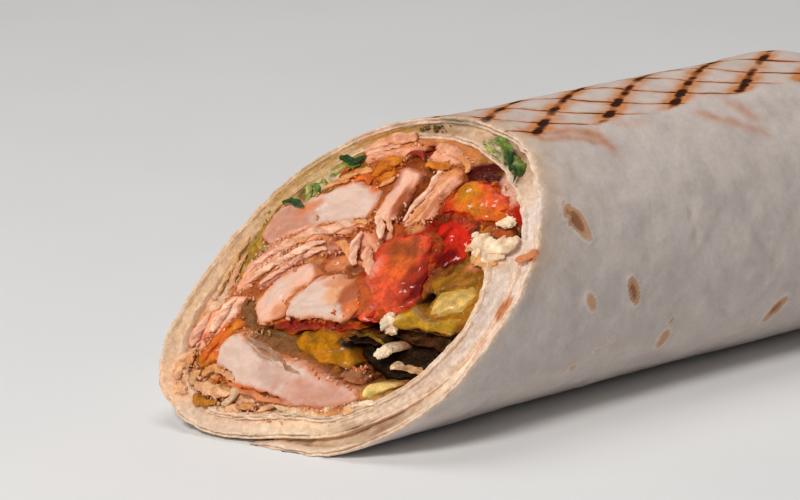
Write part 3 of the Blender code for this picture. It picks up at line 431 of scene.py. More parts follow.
# Soft lumps, by the mesh that they belong to, with its slot: tint, y, z, half size across, up and along the
# roll, turn in degrees, and how far ahead of the cut
LUMPS = {
    "bread_lumps": ("flatbread", (
        ("orange_crumb", -20.2, 40.6, 0.8, 0.8, 0.8, 0, 1.0),
        ("torn", -19.6, 42.9, 0.7, 0.5, 0.7, -20, 1.1),
        ("orange_crumb", -22.6, 38.9, 1.3, 1.3, 0.9, -25, 0.5),
        ("torn", -14.2, 12.1, 1.1, 0.8, 0.8, 0, 0.6), ("torn", -24.2, 45.6, 1.7, 1.0, 0.8, 5, 0.6),
    )),
    "sauce_lumps": ("sauce", (
        ("honey", 23.8, 14.0, 1.2, 1.8, 0.7, 0, 0.1), ("butter", 21.8, 9.2, 1.8, 0.9, 0.7, -20, 0.2),
        ("honey", 5.8, 8.2, 1.6, 0.7, 0.7, 10, 0.4), ("butter", 1.6, 8.6, 1.4, 0.6, 0.7, 30, 0.4),
        ("cream", -1.8, 9.0, 1.6, 0.6, 0.8, -10, 0.5), ("cream", -8.6, 9.3, 2.0, 0.6, 0.8, 10, 0.4),
        ("cream", 12.0, 6.6, 1.8, 0.7, 0.6, 5, 0.0), ("torn", -15.2, 21.0, 1.7, 1.2, 1.0, 10, 0.9),
        ("cream", -11.0, 11.0, 1.3, 1.2, 0.9, 15, 1.0), ("butter", -14.6, 10.4, 1.2, 0.9, 0.8, 0, 0.4),
        ("butter", 8.6, 7.4, 1.5, 0.7, 0.7, -5, 0.2), ("torn", -4.6, 8.6, 1.6, 0.7, 0.7, -8, 0.4),
    )),
    "pickle_tip": ("pickle", (
        ("torn", -12.6, 26.2, 1.2, 1.5, 1.1, 25, 1.1), ("cream", -14.0, 24.9, 1.4, 0.8, 0.9, -20, 0.8),
    )),
}
# Shreds, frills, curls and torn edges, by mesh, with its slot: tint, the first end, a middle place and the
# last end as y and z, half thickness, and how far ahead of the cut
STRANDS = {
    "meat_shreds": ("roast_meat", (
        ("salmon", 22.4, 30.6, 15.2, 37.8, 5.4, 42.0, 1.0, 1.2),
        ("pale_meat", 21.0, 28.6, 15.8, 34.4, 9.6, 37.9, 0.75, 1.1),
        ("honey", 17.6, 35.3, 13.6, 38.7, 10.6, 39.9, 0.55, 1.3),
        ("salmon", 18.4, 28.8, 13.4, 34.0, 8.8, 36.6, 0.75, 0.5),
        ("honey", 9.2, 40.6, 6.2, 42.0, 3.4, 41.8, 0.6, 1.2),
        ("pale_meat", 2.4, 43.9, 0.6, 42.4, -1.4, 40.0, 0.55, 1.3),
        ("apricot", 0.8, 44.0, -0.8, 42.8, -2.6, 41.0, 0.45, 1.1),
        ("salmon", 3.8, 40.6, 2.8, 37.4, 0.6, 35.0, 0.65, 1.0),
        ("apricot", 1.0, 38.0, -1.0, 36.2, -3.4, 33.4, 0.65, 0.8),
        ("honey", 8.0, 37.9, 5.2, 37.6, 3.0, 35.6, 0.5, 0.6),
        ("apricot", 13.0, 53.9, 8.8, 56.9, 4.0, 57.2, 0.9, 0.6),
        ("salmon", 12.4, 53.4, 9.6, 55.3, 6.4, 56.1, 0.55, 0.6),
        ("honey", 15.0, 48.1, 12.0, 50.1, 8.8, 50.9, 0.65, 1.0),
        ("tangerine", 11.4, 49.0, 9.6, 50.0, 7.8, 48.6, 0.7, 1.2),
        ("honey", 17.0, 46.7, 14.6, 48.3, 12.4, 48.8, 0.5, 1.1),
        ("pale_meat", -5.4, 53.6, -4.9, 49.4, -3.7, 43.4, 0.65, 1.4),
        ("honey", -7.4, 52.4, -6.5, 48.4, -4.8, 43.0, 0.6, 1.2),
        ("pale_meat", 21.4, 26.0, 22.3, 23.2, 21.6, 19.6, 1.05, 0.5),
        ("salmon", 25.0, 22.6, 25.1, 19.6, 24.4, 16.4, 0.75, 0.1),
        ("tangerine", 19.2, 21.4, 20.0, 18.0, 19.8, 14.0, 0.7, 0.7),
        ("grey", 14.6, 20.2, 9.4, 19.0, 4.0, 17.0, 0.28, 2.0),
        ("blush", 12.6, 19.2, 7.6, 17.6, 2.2, 15.8, 0.24, 2.2),
        ("grey", 8.0, 18.9, 3.0, 16.9, -2.4, 15.2, 0.3, 1.9),
        # Painted shadow: the bark strand below lies along the crevice beside the thin skin
        ("bark", 19.0, 26.2, 16.6, 23.9, 12.2, 21.4, 0.4, 0.8),
        ("ginger", 11.6, 12.0, 5.0, 10.8, -4.6, 10.3, 0.36, 1.8),
        ("apricot", -0.8, 56.6, -4.0, 56.4, -7.6, 55.0, 0.8, 0.5),
        ("amber", -1.2, 53.9, -3.9, 53.6, -6.6, 53.4, 0.75, 1.1),
        ("honey", -6.8, 55.8, -8.8, 54.6, -10.4, 53.0, 0.7, 0.6),
        ("amber", 7.8, 50.0, 6.6, 52.8, 4.2, 53.4, 1.3, 0.8),
        ("honey", 5.4, 48.4, 4.6, 49.6, 3.8, 50.8, 0.6, 0.9),
        ("crimson", 4.6, 54.2, 2.6, 54.9, 0.0, 54.0, 0.42, 0.1),
    )),
    "torn_edge": ("flatbread", (
        ("torn", -28.6, 42.4, -23.8, 41.5, -19.4, 42.3, 1.7, 0.5),
        ("torn", -27.6, 39.6, -23.6, 39.5, -20.2, 40.6, 1.0, 0.3),
        ("orange_crumb", -26.8, 38.0, -24.0, 38.2, -21.4, 39.0, 0.8, 0.2),
        ("ginger", -29.6, 39.4, -31.4, 40.1, -33.2, 41.2, 0.75, -0.2),
        ("torn", -12.8, 11.6, -16.0, 11.6, -19.6, 12.4, 0.65, 0.3),
        ("crumb", -4.0, 7.4, 3.0, 6.9, 10.0, 6.2, 0.5, 0.1),
    )),
    "leaf_frills": ("lettuce", (
        ("leaf_dark", 22.6, 44.2, 20.2, 44.1, 17.6, 43.2, 0.42, 2.7),
        ("leaf_dark", 21.4, 44.9, 20.0, 44.6, 18.8, 44.3, 0.3, 2.5),
        ("leaf_dark", 17.4, 53.2, 15.0, 52.6, 12.0, 52.9, 0.5, 1.0),
        ("leaf_dark", 14.6, 51.6, 13.2, 52.4, 12.0, 53.6, 0.42, 1.1),
        ("leaf", 16.4, 52.1, 14.2, 51.5, 12.4, 51.8, 0.38, 0.7),
        ("leaf_fresh", 20.2, 47.4, 19.0, 46.0, 18.3, 44.3, 0.5, 1.3),
        ("leaf_bright", 19.2, 47.6, 17.8, 46.6, 16.8, 45.2, 0.38, 1.2),
        ("leaf_pale", 18.4, 50.2, 16.8, 48.9, 15.0, 48.2, 0.5, 0.6),
        ("leaf_pale", -9.6, 58.8, -12.2, 58.6, -14.8, 57.4, 0.34, 0.7),
        ("leaf_fresh", -10.6, 57.8, -13.2, 57.4, -15.6, 56.0, 0.36, 0.7),
        ("leaf_bright", -11.6, 59.6, -14.2, 59.0, -17.0, 57.0, 0.36, 0.6),
        ("leaf_dark", -16.0, 57.6, -17.4, 56.4, -19.2, 54.4, 0.34, 1.0),
        ("leaf_pale", -12.6, 57.0, -14.6, 56.6, -16.4, 55.2, 0.28, 0.9),
        ("leaf_dark", -18.0, 56.0, -19.6, 54.6, -21.0, 52.6, 0.28, 0.9),
    )),
    "sauce_curls": ("sauce", (
        ("honey", 18.6, 12.4, 16.4, 13.7, 14.0, 12.8, 0.8, 1.0),
        ("butter", 18.9, 11.0, 14.8, 9.9, 10.4, 10.0, 0.85, 0.9),
        ("curd", 26.4, 36.6, 26.8, 31.0, 25.8, 25.6, 0.5, -0.1),
        ("butter", 25.2, 34.0, 25.2, 29.6, 24.2, 26.0, 0.45, -0.2),
        ("butter", 14.2, 13.0, 12.0, 13.1, 10.4, 11.5, 0.65, 1.1),
        ("cream", 10.7, 11.8, 9.4, 9.8, 10.8, 7.8, 0.7, 0.8),
        ("curd", 19.2, 12.6, 20.2, 11.4, 18.8, 10.4, 0.7, 0.8),
        ("butter", 23.6, 16.4, 24.4, 13.6, 22.8, 11.0, 0.75, 0.3),
        ("curry", 18.0, 8.8, 15.2, 7.9, 12.2, 8.3, 0.6, 0.5),
    )),
    "pickle_edges": ("dark_pickle", (
        ("cream", -16.9, 18.8, -18.2, 18.5, -19.6, 18.2, 0.66, -1.6),
        ("curd", -18.0, 18.5, -21.6, 18.2, -25.8, 17.6, 0.5, -1.8),
        ("olive", -4.4, 23.2, -9.2, 22.7, -14.2, 21.6, 0.25, -0.9),
        ("bark", -15.0, 24.9, -20.6, 24.7, -27.0, 24.4, 0.2, -1.6),
    )),
}
# Colours on the bread's cut edge and inner face: tint, y, z, half size across and up, strength
STAINS = (
    ("wisp", -32.8, 40.6, 2.6, 1.2, 1.0), ("wisp", -32.4, 30.6, 1.6, 2.2, 0.95),
    ("wisp", -32.2, 23.6, 0.8, 2.0, 0.5), ("orange_crumb", -26.4, 38.4, 1.4, 1.6, 0.5),
    ("flour", -27.6, 47.0, 3.0, 8.0, 0.8), ("khaki", 25.6, 40.0, 2.0, 8.0, 0.6),
    ("warm_crumb", 28.0, 28.0, 4.0, 16.0, 0.75), ("butter", 24.0, 10.0, 6.0, 5.0, 0.5),
    ("khaki", 22.0, 50.0, 4.0, 4.0, 0.5), ("tan", 3.0, 59.4, 8.0, 1.0, 0.6),
    ("butter", 0.0, 6.6, 14.0, 1.2, 0.4), ("tan", -18.4, 6.8, 6.0, 1.6, 0.7),
    ("bread_grey", -2.0, 61.2, 5.0, 1.2, 0.8), ("wisp", 14.0, 56.4, 4.0, 1.6, 0.3),
    ("torn", -8.0, 5.5, 14.0, 2.5, 0.5), ("torn", 30.0, 20.0, 2.4, 12.0, 0.1),
)


# Shape: curves, noise and the form of the roll

def closed_curve(values, turn):
    """Smooth closed curve through evenly spaced values: a cubic between each pair, at a place in turns."""
    points = np.asarray(values, float)
    count = len(points)
    place = np.mod(turn, 1.0) * count
    index = np.floor(place).astype(int)
    t = place - index
    a, b, c, d = (points[(index + k) % count] for k in (-1, 0, 1, 2))
    return b + 0.5 * t * (c - a + t * (2 * a - 5 * b + 4 * c - d + t * (3 * (b - c) + d - a)))


def open_curve(knots, place):
    """Smooth curve through (place, value) knots: a cubic with the slope at each knot from its neighbours."""
    x, y = np.asarray(knots, float).T
    return between(x, y, place)


def between(x, y, place):
    """Cubic through y at x, read at place; y may hold one column for each coordinate."""
    slope = np.gradient(y, x, axis=0)
    i = np.clip(np.searchsorted(x, place) - 1, 0, len(x) - 2)
    step = x[i + 1] - x[i]
    t = np.clip((place - x[i]) / step, 0, 1)
    if y.ndim == 2:
        step, t = step[:, None], t[:, None]
    return ((2 * t ** 3 - 3 * t ** 2 + 1) * y[i] + (t ** 3 - 2 * t ** 2 + t) * step * slope[i]
            + (3 * t ** 2 - 2 * t ** 3) * y[i + 1] + (t ** 3 - t ** 2) * step * slope[i + 1])


def smooth_step(t):
    """Eased ramp from 0 to 1."""
    t = np.clip(t, 0, 1)
    return t * t * (3 - 2 * t)


def outward(turn):
    """Unit direction in the section: minus sine and minus cosine of the turn."""
    angle = 2 * math.pi * np.asarray(turn)
    return np.stack([-np.sin(angle), -np.cos(angle)], -1)


def cut_plane(section):
    """x of the slanted cut: its lean times the height over the middle, plus its skew times y."""
    return CUT_LEAN * (section[..., 1] - CUT_HEIGHT) + CUT_SKEW * section[..., 0]


def ripple(a, b, phase=0.0):
    """Soft unevenness between -1 and 1, from three crossed sine waves."""
    return (np.sin(a + 1.3 * np.sin(b + phase)) + 0.6 * np.sin(2.3 * b - 0.7 * a + 2.1 * phase)
            + 0.4 * np.sin(3.1 * a + 2.7 * b + phase)) / 2.0


@functools.lru_cache(maxsize=None)
def lattice(seed):
    """Table of random values between -1 and 1."""
    return np.random.default_rng(seed).random((LATTICE, LATTICE)) * 2 - 1


def grain(x, y, seed):
    """Smooth noise: a random value at each whole (x, y), blended between them with an eased ramp."""
    x, y = np.broadcast_arrays(x, y)
    table = lattice(seed)
    i, j = np.floor(x).astype(int), np.floor(y).astype(int)
    s, t = smooth_step(x - i), smooth_step(y - j)
    a, b, c, d = (table[(i + k) % LATTICE, (j + m) % LATTICE] for m in (0, 1) for k in (0, 1))
    return (a * (1 - s) + b * s) * (1 - t) + (c * (1 - s) + d * s) * t


def rough(x, y, seed, layers=3):
    """Rough noise: layers of grain, each twice as fine and half as strong as the one before."""
    total = 0.0
    for layer in range(layers):
        fine = 2 ** layer
        total = total + grain(x * fine + 17.3 * layer, y * fine + 5.1 * layer, seed + layer) / fine
    return total / 1.5


def settle(points):
    """Bend the straight roll: shrink it behind the flared mouth, sway it sideways, flatten its underside."""
    x, section = points[..., 0], points[..., 1:]
    behind = np.maximum(x - cut_plane(section), 0)
    size = 1 - MOUTH_FLARE * (1 - np.exp(-behind / FLARE_DEPTH))
    y = CENTRE[0] + (section[..., 0] - CENTRE[0]) * size + SWAY * np.sin(x / SWAY_RUN)
    z = np.maximum((section[..., 1] - FLOOR) * size, 0)
    return np.stack([x - REST_X, y - REST_Y, z], -1) * MM


def patch(section, y, z, half_y, half_z, degrees, ragged=0.35, seed=3):
    """Soft ellipse, 1 in its middle and 0 outside, with its border pushed about by noise."""
    turn = math.radians(degrees)
    dy, dz = section[..., 0] - y, section[..., 1] - z
    # The section is seen from the cut with +y to the left, so a turn the eye calls anticlockwise is reversed
    along = (dy * math.cos(turn) - dz * math.sin(turn)) / half_y
    up = (dy * math.sin(turn) + dz * math.cos(turn)) / half_z
    border = ragged * rough(section[..., 0] / 1.3, section[..., 1] / 1.3, seed)
    reach = np.sqrt(along ** 2 + up ** 2) + border
    return smooth_step((1.3 - reach) / 0.75)


# Meshes

def grid_quads(rows):
    """Quads of a grid of point numbers."""
    corners = (rows[:-1, :-1], rows[1:, :-1], rows[1:, 1:], rows[:-1, 1:])
    return np.stack([corner.ravel() for corner in corners], 1)


def fan(hub, rim):
    """Triangles from one point to a row of points."""
    return np.stack([np.full(len(rim) - 1, hub), rim[:-1], rim[1:]], 1)


def new_piece(name, points, quads, triangles, material, tone, maps, values):
    """Make one closed smooth piece from millimetre points, with the colour, UV maps and values at each."""
    place = settle(points)
    mesh = bpy.data.meshes.new(name)
    corners = np.concatenate([np.asarray(quads).ravel(), np.asarray(triangles).ravel()]).astype(np.int32)
    sizes = np.concatenate([np.full(len(quads), 4), np.full(len(triangles), 3)])
    mesh.vertices.add(len(place))
    mesh.vertices.foreach_set("co", place.astype(np.float32).ravel())
    mesh.loops.add(len(corners))
    mesh.loops.foreach_set("vertex_index", corners)
    mesh.polygons.add(len(sizes))
    mesh.polygons.foreach_set("loop_start", np.concatenate([[0], np.cumsum(sizes)[:-1]]).astype(np.int32))
    mesh.update(calc_edges=True)
    mesh.shade_smooth()
    if outer_volume(place, quads, triangles) < 0:
        mesh.flip_normals()
    layer = mesh.color_attributes.new("tone", "FLOAT_COLOR", "POINT")
    colours = np.column_stack([tone, np.ones(len(tone))])
    layer.data.foreach_set("color", colours.astype(np.float32).ravel())
    order = np.empty(len(mesh.loops), np.int32)
    mesh.loops.foreach_get("vertex_index", order)
    for key, flat in maps.items():
        layer = mesh.uv_layers.new(name=key)
        layer.data.foreach_set("uv", np.asarray(flat, np.float32)[order].ravel())
    for key, value in values.items():
        layer = mesh.attributes.new(key, "FLOAT", "POINT")
        layer.data.foreach_set("value", np.asarray(value, np.float32))
    mesh.validate()
    piece = bpy.data.objects.new(name, mesh)
    bpy.context.scene.collection.objects.link(piece)
    mesh.materials.append(material)
    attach(piece, BODY)
    return piece


def all_round(numbers):
    """Rows of point numbers that end with their first number again."""
    return np.concatenate([numbers, numbers[:, :1]], 1)


def capped(rows, columns):
    """Faces of rows of points that go all round, closed by one point at each end, numbered after them."""
    numbers = all_round(np.arange(rows * columns).reshape(rows, columns))
    hub = rows * columns
    return grid_quads(numbers), np.concatenate([fan(hub, numbers[0]), fan(hub + 1, numbers[-1][::-1])])


def outer_volume(place, quads, triangles):
    """Volume inside the faces, above 0 where they point outward: a sixth of the sum of a . (b x c)."""
    quads, triangles = np.asarray(quads).reshape(-1, 4), np.asarray(triangles).reshape(-1, 3)
    corners = np.concatenate([quads[:, :3], quads[:, [0, 2, 3]], triangles])
    a, b, c = (place[corners[:, k]] for k in range(3))
    return float(np.einsum("ij,ij->i", a, np.cross(b, c)).sum() / 6)


def repeated(quads, triangles, size, count):
    """Faces of a form of that many points, for each of its copies."""
    step = size * np.arange(count)[:, None, None]
    return (quads + step).reshape(-1, 4), (triangles + step).reshape(-1, 3)


def tint(name):
    """Colour in the palette."""
    return np.array(TINTS[name])


def blend(tone, colour, mask):
    """Mix a colour into the tones by a mask."""
    return tone + (np.asarray(colour) - tone) * np.clip(mask, 0, 1)[..., None]


# Flatbread

def sheet_swell(roll):
    """Soft dents and swellings, fading out toward the outer edge."""
    swell = ripple(2 * math.pi * SWELLS * roll, 2 * math.pi * roll + 0.3 * roll)
    return SHEET_SWELL * swell * smooth_step(roll * 8)


def sheet_radius(roll):
    """Outer radius of the rolled sheet: the roll's outline, less the inset at that turn, plus the swell."""
    return closed_curve(RADII, roll + SHEET_START) - open_curve(INSET, roll) + sheet_swell(roll)


def sheet_thickness(roll):
    """Full thickness, thinning at the sheet's two edges."""
    edge = smooth_step(np.minimum(roll, SHEET_TURNS - roll) / EDGE_RUN)
    return EDGE_THICK + (SHEET_THICK - EDGE_THICK) * edge


def sheet_middle():
    """Middle line of the rolled sheet in the section, and half its thickness there."""
    roll = np.linspace(0, SHEET_TURNS, MIDDLE_STATIONS)
    half = sheet_thickness(roll) / 2
    radius = sheet_radius(roll) - half
    return CENTRE + outward(roll + SHEET_START) * radius[:, None], half


def spot_mask(x, turn, spot, soft):
    """Ragged leaning ellipse round a place on the skin: 1 inside, 0 outside, with noise on its border."""
    place, at, run, girth, lean, strength = spot
    across = (np.mod(turn - at + 0.5, 1.0) - 0.5) * 2 * math.pi * MEAN_RADIUS
    along = x - place + lean * across
    reach = np.sqrt((along / run) ** 2 + (across / girth) ** 2)
    reach = reach + 0.12 * rough(x / 2.0, turn * 100, int(place))
    return strength * smooth_step((1.1 - reach) / soft)


def strokes(x, turn, rows):
    """Soft lines on the skin: the strongest of exp(-(distance / width) ** 2), pushed about by noise."""
    best = 0.0
    for x0, t0, x1, t1, width, strength in rows:
        dx, dg = x - x0, (turn - t0) * GIRTH
        run, rise = x1 - x0, (t1 - t0) * GIRTH
        share = np.clip((dx * run + dg * rise) / (run ** 2 + rise ** 2), 0, 1)
        away = np.hypot(dx - share * run, dg - share * rise) + 0.5 * rough(x / 2.4, turn * 80, 24)
        best = np.maximum(best, strength * np.exp(-(np.maximum(away, 0) / width) ** 2))
    return best


def skin_relief(x, turn):
    """How far the outer skin stands out: broad dents, fine wrinkles, blisters with sunken middles, creases.
    The turn is counted on past a whole turn, so that nothing jumps there."""
    girth = turn * 2 * math.pi * SKIN_RADIUS
    relief = 0.20 * rough(x / 12, girth / 9, 11, 2) + 0.05 * rough(x / 4.0 + girth / 9, girth / 3.0, 12, 2)
    for spot in BLISTERS:
        ring = spot_mask(x, turn, spot, 0.7)
        relief = relief + 1.5 * ring * (1 - ring) - 0.15 * ring
    for x0, t0, x1, t1, depth, width in CREASES:
        start, run = np.array([x0, t0 * GIRTH]), np.array([x1 - x0, (t1 - t0) * GIRTH])
        length = np.hypot(*run)
        run = run / length
        dx, dg = x - start[0], turn * GIRTH - start[1]
        along, off = dx * run[0] + dg * run[1], dx * run[1] - dg * run[0]
        off = off + 0.8 * grain(along / 4.0, 0 * along, 21)
        ends = smooth_step(along / 3) * smooth_step((length - along) / 3)
        relief = relief - depth * np.exp(-(off / width) ** 2) * ends
        relief = relief + 0.5 * depth * np.exp(-((off - 1.5 * width) / width) ** 2) * ends
    return relief


def mark_map(points):
    """Grill mark coordinates, whole numbers on the marks: distance across the thick ones, and along the roll
    from the thin ones, which curve on the near side. Each is counted in steps between marks."""
    x, y = points[..., 0], points[..., 1]
    thick = (-math.sin(MARK_ANGLE) * x + math.cos(MARK_ANGLE) * y - MARK_START) / MARK_STEP
    down = RIDGE - y
    slope, curve, far = CROSS_BEND
    bend = np.where(down > 0, slope * down + curve * down ** 2, far * down)
    return np.stack([thick, (x - bend - CROSS_START) / CROSS_STEP], -1)


def pressed_zone(points, upper):
    """Where the press touched: between two lines across the top, on skin that faces up."""
    y = points[..., 1] + 0.9 * rough(points[..., 0] / 5, points[..., 1] / 9, 31)
    low, high = PRESSED
    ends = 0.8 + 0.5 * np.exp(-((y - low - 2.0) / 3.0) ** 2)
    return smooth_step((y - low) / 2.6) * smooth_step((high - y) / 2.5) * upper * ends


def stained(tone, section, share):
    """The colours in the table of stains, each mixed in as far as the bread there takes it."""
    for name, y, z, half_y, half_z, strength in STAINS:
        tone = blend(tone, tint(name), patch(section, y, z, half_y, half_z, 0) * strength * share)
    return tone


def sheet_part(name, roll, rings, thin, seed, props):
    """Part of the rolled sheet as a closed band. At each turn the outer skin lies at the sheet's radius and
    the inner skin one thickness in. Both run back from the ragged cut, and each edge is rounded over."""
    way = outward(roll + SHEET_START)
    radius, thick = sheet_radius(roll), sheet_thickness(roll)
    girth = roll * 2 * math.pi * MEAN_RADIUS
    line = CENTRE + way * (radius - thick / 2)[:, None]
    ragged = edge_back(roll) + FRINGE * rough(girth / 1.7, 0 * girth, seed) + 0.8 * (1 - thin)
    front = cut_plane(CENTRE + way * radius[:, None]) + ragged
    spare = SHEET_END - rings[-1] - front
    x = front[:, None] + rings + spare[:, None] * smooth_step(rings / rings[-1])
    girth, turn = girth[:, None], (roll + SHEET_START)[:, None]
    open_skin = (smooth_step((SKIN_END - roll) / 0.02) * smooth_step(roll * 14))[:, None]
    thick = (thick * (0.4 + 0.6 * thin))[:, None]
    fray = 0.10 * rough(girth / 0.8, x / 1.2, seed + 9) * np.exp(-rings / 3.0)
    skins = []
    for side in (1, -1):
        offset = side * (thick / 2 - CRUST_SOFT * np.exp(-rings / 0.5)) + fray
        offset = offset + 0.10 * rough(girth / 2.2, x / 3.0, seed + 5 + side) * smooth_step(rings / 1.5)
        if side > 0:
            offset = offset + props.wrinkle * skin_relief(x, turn) * open_skin * smooth_step(rings / 2.5)
        section = line[:, None] + way[:, None] * offset[..., None]
        skins.append(np.concatenate([x[..., None], section], -1))
    # Crumbly rows across the cut edge, from the outer skin to the inner, with a groove along the middle
    rows = []
    for part, back in zip(EDGE_ROWS, EDGE_GROOVE):
        row = skins[0][:, 0] * (1 - part) + skins[1][:, 0] * part
        row[:, 0] += back * (1 + 0.6 * grain(girth[:, 0] / 2.5, 0 * roll, seed + 12))
        row[:, 0] += 0.26 * rough(girth[:, 0] / 0.8, part * 5 + 0 * roll, seed + 13)
        rows.append(row)
    count, ring_count = x.shape
    points = np.concatenate([part.reshape(-1, 3) for part in (*skins, np.stack(rows, 1))])
    outer = np.arange(count * ring_count).reshape(count, ring_count)
    inner = outer + count * ring_count
    edge = 2 * count * ring_count + np.arange(count * len(rows)).reshape(count, len(rows))
    loop = np.concatenate([outer, inner[::-1], outer[:1]])
    across = np.concatenate([outer[:, :1], edge, inner[:, :1]], 1)
    back = np.stack([inner[:, -1], outer[:, -1]])
    quads = np.concatenate([grid_quads(part) for part in (loop, across.T, back)])
    shape = (count, ring_count, len(rows))
    return finish_bread(name, points, quads, close_caps(across), shape, rings, roll, props)


def close_caps(across):
    """Fans that close the two short ends of the rows across the cut edge."""
    first, last = across[0], across[-1]
    return np.concatenate([fan(first[0], first[1:])[:, [0, 2, 1]], fan(last[0], last[1:])])


def finish_bread(name, points, quads, triangles, shape, rings, roll, props):
    """Colour the band: floury outside, warm crumb at the cut, creamy inside with stains, brown blisters.
    Each value is worked out for the two skins and then for the rows across the cut edge."""
    count, ring_count, row_count = shape
    size = count * ring_count
    near_cut = np.concatenate([np.tile(np.exp(-rings / 1.1), 2 * count), np.ones(count * row_count)])
    inside = np.concatenate([np.zeros(size), np.ones(size), np.full(count * row_count, 0.4)])

    def spread(value):
        return np.concatenate([np.repeat(value, copies) for copies in (ring_count, ring_count, row_count)])

    turns = spread(np.mod(roll + SHEET_START, 1.0))
    outer_turn = spread((roll < SKIN_END).astype(float))
    upper = spread(smooth_step(-np.cos(2 * math.pi * (roll + SHEET_START)) * 4))
    open_skin = (1 - inside) * outer_turn
    toast = np.max([spot_mask(points[:, 0], turns, spot, 0.85) for spot in BLISTERS], axis=0)
    toast = toast * open_skin * (1 - 0.6 * near_cut)
    takes = np.maximum(inside, near_cut) * (points[:, 0] < cut_plane(points[:, 1:]) + STAIN_REACH)
    zone = pressed_zone(points, upper) * open_skin * (1 - near_cut ** 2)
    tone = np.tile(tint("bread"), (len(points), 1))
    tone = blend(tone, tint("bread_inside"), np.maximum(inside, 1.0 - outer_turn))
    lip = np.concatenate([np.tile(np.exp(-rings / 5.0), 2 * count), np.zeros(count * row_count)])
    tone = blend(tone, tint("warm_crumb"), lip * upper * open_skin * 0.8)
    tone = blend(tone, tint("crumb"), near_cut * 0.95)
    tone = stained(tone, points[:, 1:], takes)
    tone = blend(tone, tint("wisp"), strokes(points[:, 0], turns, WISPS) * open_skin)
    piece = new_piece(name, points, quads, triangles, bread_material(props), tone,
                      {"marks": mark_map(points)}, {"toast": toast, "pressed": zone, "crumb": near_cut})
    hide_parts("flatbread")
    return piece


def edge_back(roll):
    """How far the sheet's edge stands behind the plane of the cut at a turn."""
    return open_curve(EDGE_BACK, roll) + 0.5 * ripple(roll * 31, roll * 17)


def sheet_front(roll):
    """x of the sheet's cut edge at a turn, without its fine raggedness."""
    section = CENTRE + outward(roll + SHEET_START) * sheet_radius(roll)[:, None]
    return cut_plane(section) + edge_back(roll)


def fold_fill(props):
    """Soft crumb and sauce between the layers: at each turn a face from the inner skin of one layer to the
    outer skin of the next, a little behind their cut edges, closed by a plain back."""
    roll = np.linspace(0.02, SHEET_TURNS - 1.004, FOLD_STATIONS)
    way = outward(roll + SHEET_START)
    share = np.linspace(0, 1, FOLD_COLUMNS)
    outer = sheet_radius(roll) - sheet_thickness(roll) + 0.3
    inner = sheet_radius(roll + 1) - 0.3
    radius = outer[:, None] * (1 - share) + inner[:, None] * share
    section = CENTRE + way[:, None] * radius[..., None]
    level = sheet_front(roll)[:, None] * (1 - share) + sheet_front(roll + 1)[:, None] * share
    girth = (roll * 2 * math.pi * FOLD_RADIUS)[:, None]
    level = level + open_curve(FOLD_BACK, roll)[:, None] * (0.55 + 0.45 * np.sin(math.pi * share))
    level = level + 0.45 * rough(girth / 1.6, radius / 0.9, 71)
    level = level + 0.22 * rough(girth / 7.0, radius / 0.35, 72)
    front = np.concatenate([level[..., None], section], -1)
    back = front[:, [-1, 0]].copy()
    back[..., 0] += BACK_DEPTH
    points = np.concatenate([front, back], 1)
    columns = points.shape[1]
    numbers = all_round(np.arange(len(roll) * columns).reshape(len(roll), columns))
    ends = ((numbers[0, 0], numbers[0, 1:-1]), (numbers[-1, 0], numbers[-1, 1:-1][::-1]))
    triangles = np.concatenate([fan(hub, rim) for hub, rim in ends])
    places, names = [row[0] for row in FOLD_TINTS], [row[1] for row in FOLD_TINTS]
    tone = between(np.array(places), np.array([tint(name) for name in names]), roll)
    tone = np.repeat(tone[:, None], columns, 1).reshape(-1, 3)
    points = points.reshape(-1, 3)
    away = np.linalg.norm(points[:, 1:] - CENTRE, axis=1)
    streak = smooth_step(0.5 + 0.9 * rough(np.repeat(girth, columns) / 2.5, away / 0.5, 73))
    tone = blend(tone, tint("crumb"), streak * 0.35)
    tone = stained(tone, points[:, 1:], 1.0)
    values = {"toast": 0 * streak, "pressed": 0 * streak, "crumb": 0 * streak + 0.8}
    return new_piece("crumb_between_layers", points, grid_quads(numbers), triangles, bread_material(props),
                     tone, {"marks": points[:, 1:]}, values)


def lump(steps, sides):
    """A small ball as a grid: rings from pole to pole, with one point at each pole."""
    rise = np.linspace(0, math.pi, steps + 2)[1:-1, None]
    around = np.linspace(0, 2 * math.pi, sides, endpoint=False)
    ring = np.sin(rise)
    ball = np.stack([ring * np.cos(around), ring * np.sin(around), np.cos(rise) + 0 * around], -1)
    return np.concatenate([ball.reshape(-1, 3), [[0, 0, 1], [0, 0, -1]]]), *capped(steps, sides)


def soft_lumps(key, material):
    """Soft lumps from the table: balls stretched, turned in the section, leaning with the cut, dented."""
    slot, rows = LUMPS[key]
    ball, quads, triangles = lump(*LUMP_GRID)
    a, b, c = ball.T
    points, tones = [], []
    for number, (name, y, z, half_y, half_z, half_x, degrees, ahead) in enumerate(rows):
        dent = 1 + 0.34 * rough(a * 2.2 + 9 * number, b * 2.2 + c * 1.7, 81)
        dent = dent + 0.2 * rough(a * 7, b * 7 + c * 6, 82)
        along, up = a * dent * half_y, b * dent * half_z
        turn = math.radians(degrees)
        section = np.stack([y + along * math.cos(turn) + up * math.sin(turn),
                            z - along * math.sin(turn) + up * math.cos(turn)], -1)
        middle = cut_plane(np.array([y, z]))
        lean = 0.9 * (cut_plane(section) - middle)
        points.append(np.column_stack([middle - ahead + c * dent * half_x + lean, section]))
        pale = smooth_step(0.5 - 1.2 * rough(a * 1.6 + number, b * 1.6 + c, 83))
        tones.append(tint(name) * (0.90 + 0.18 * pale)[:, None])
    return join_forms(key, points, tones, None, quads, triangles, material)


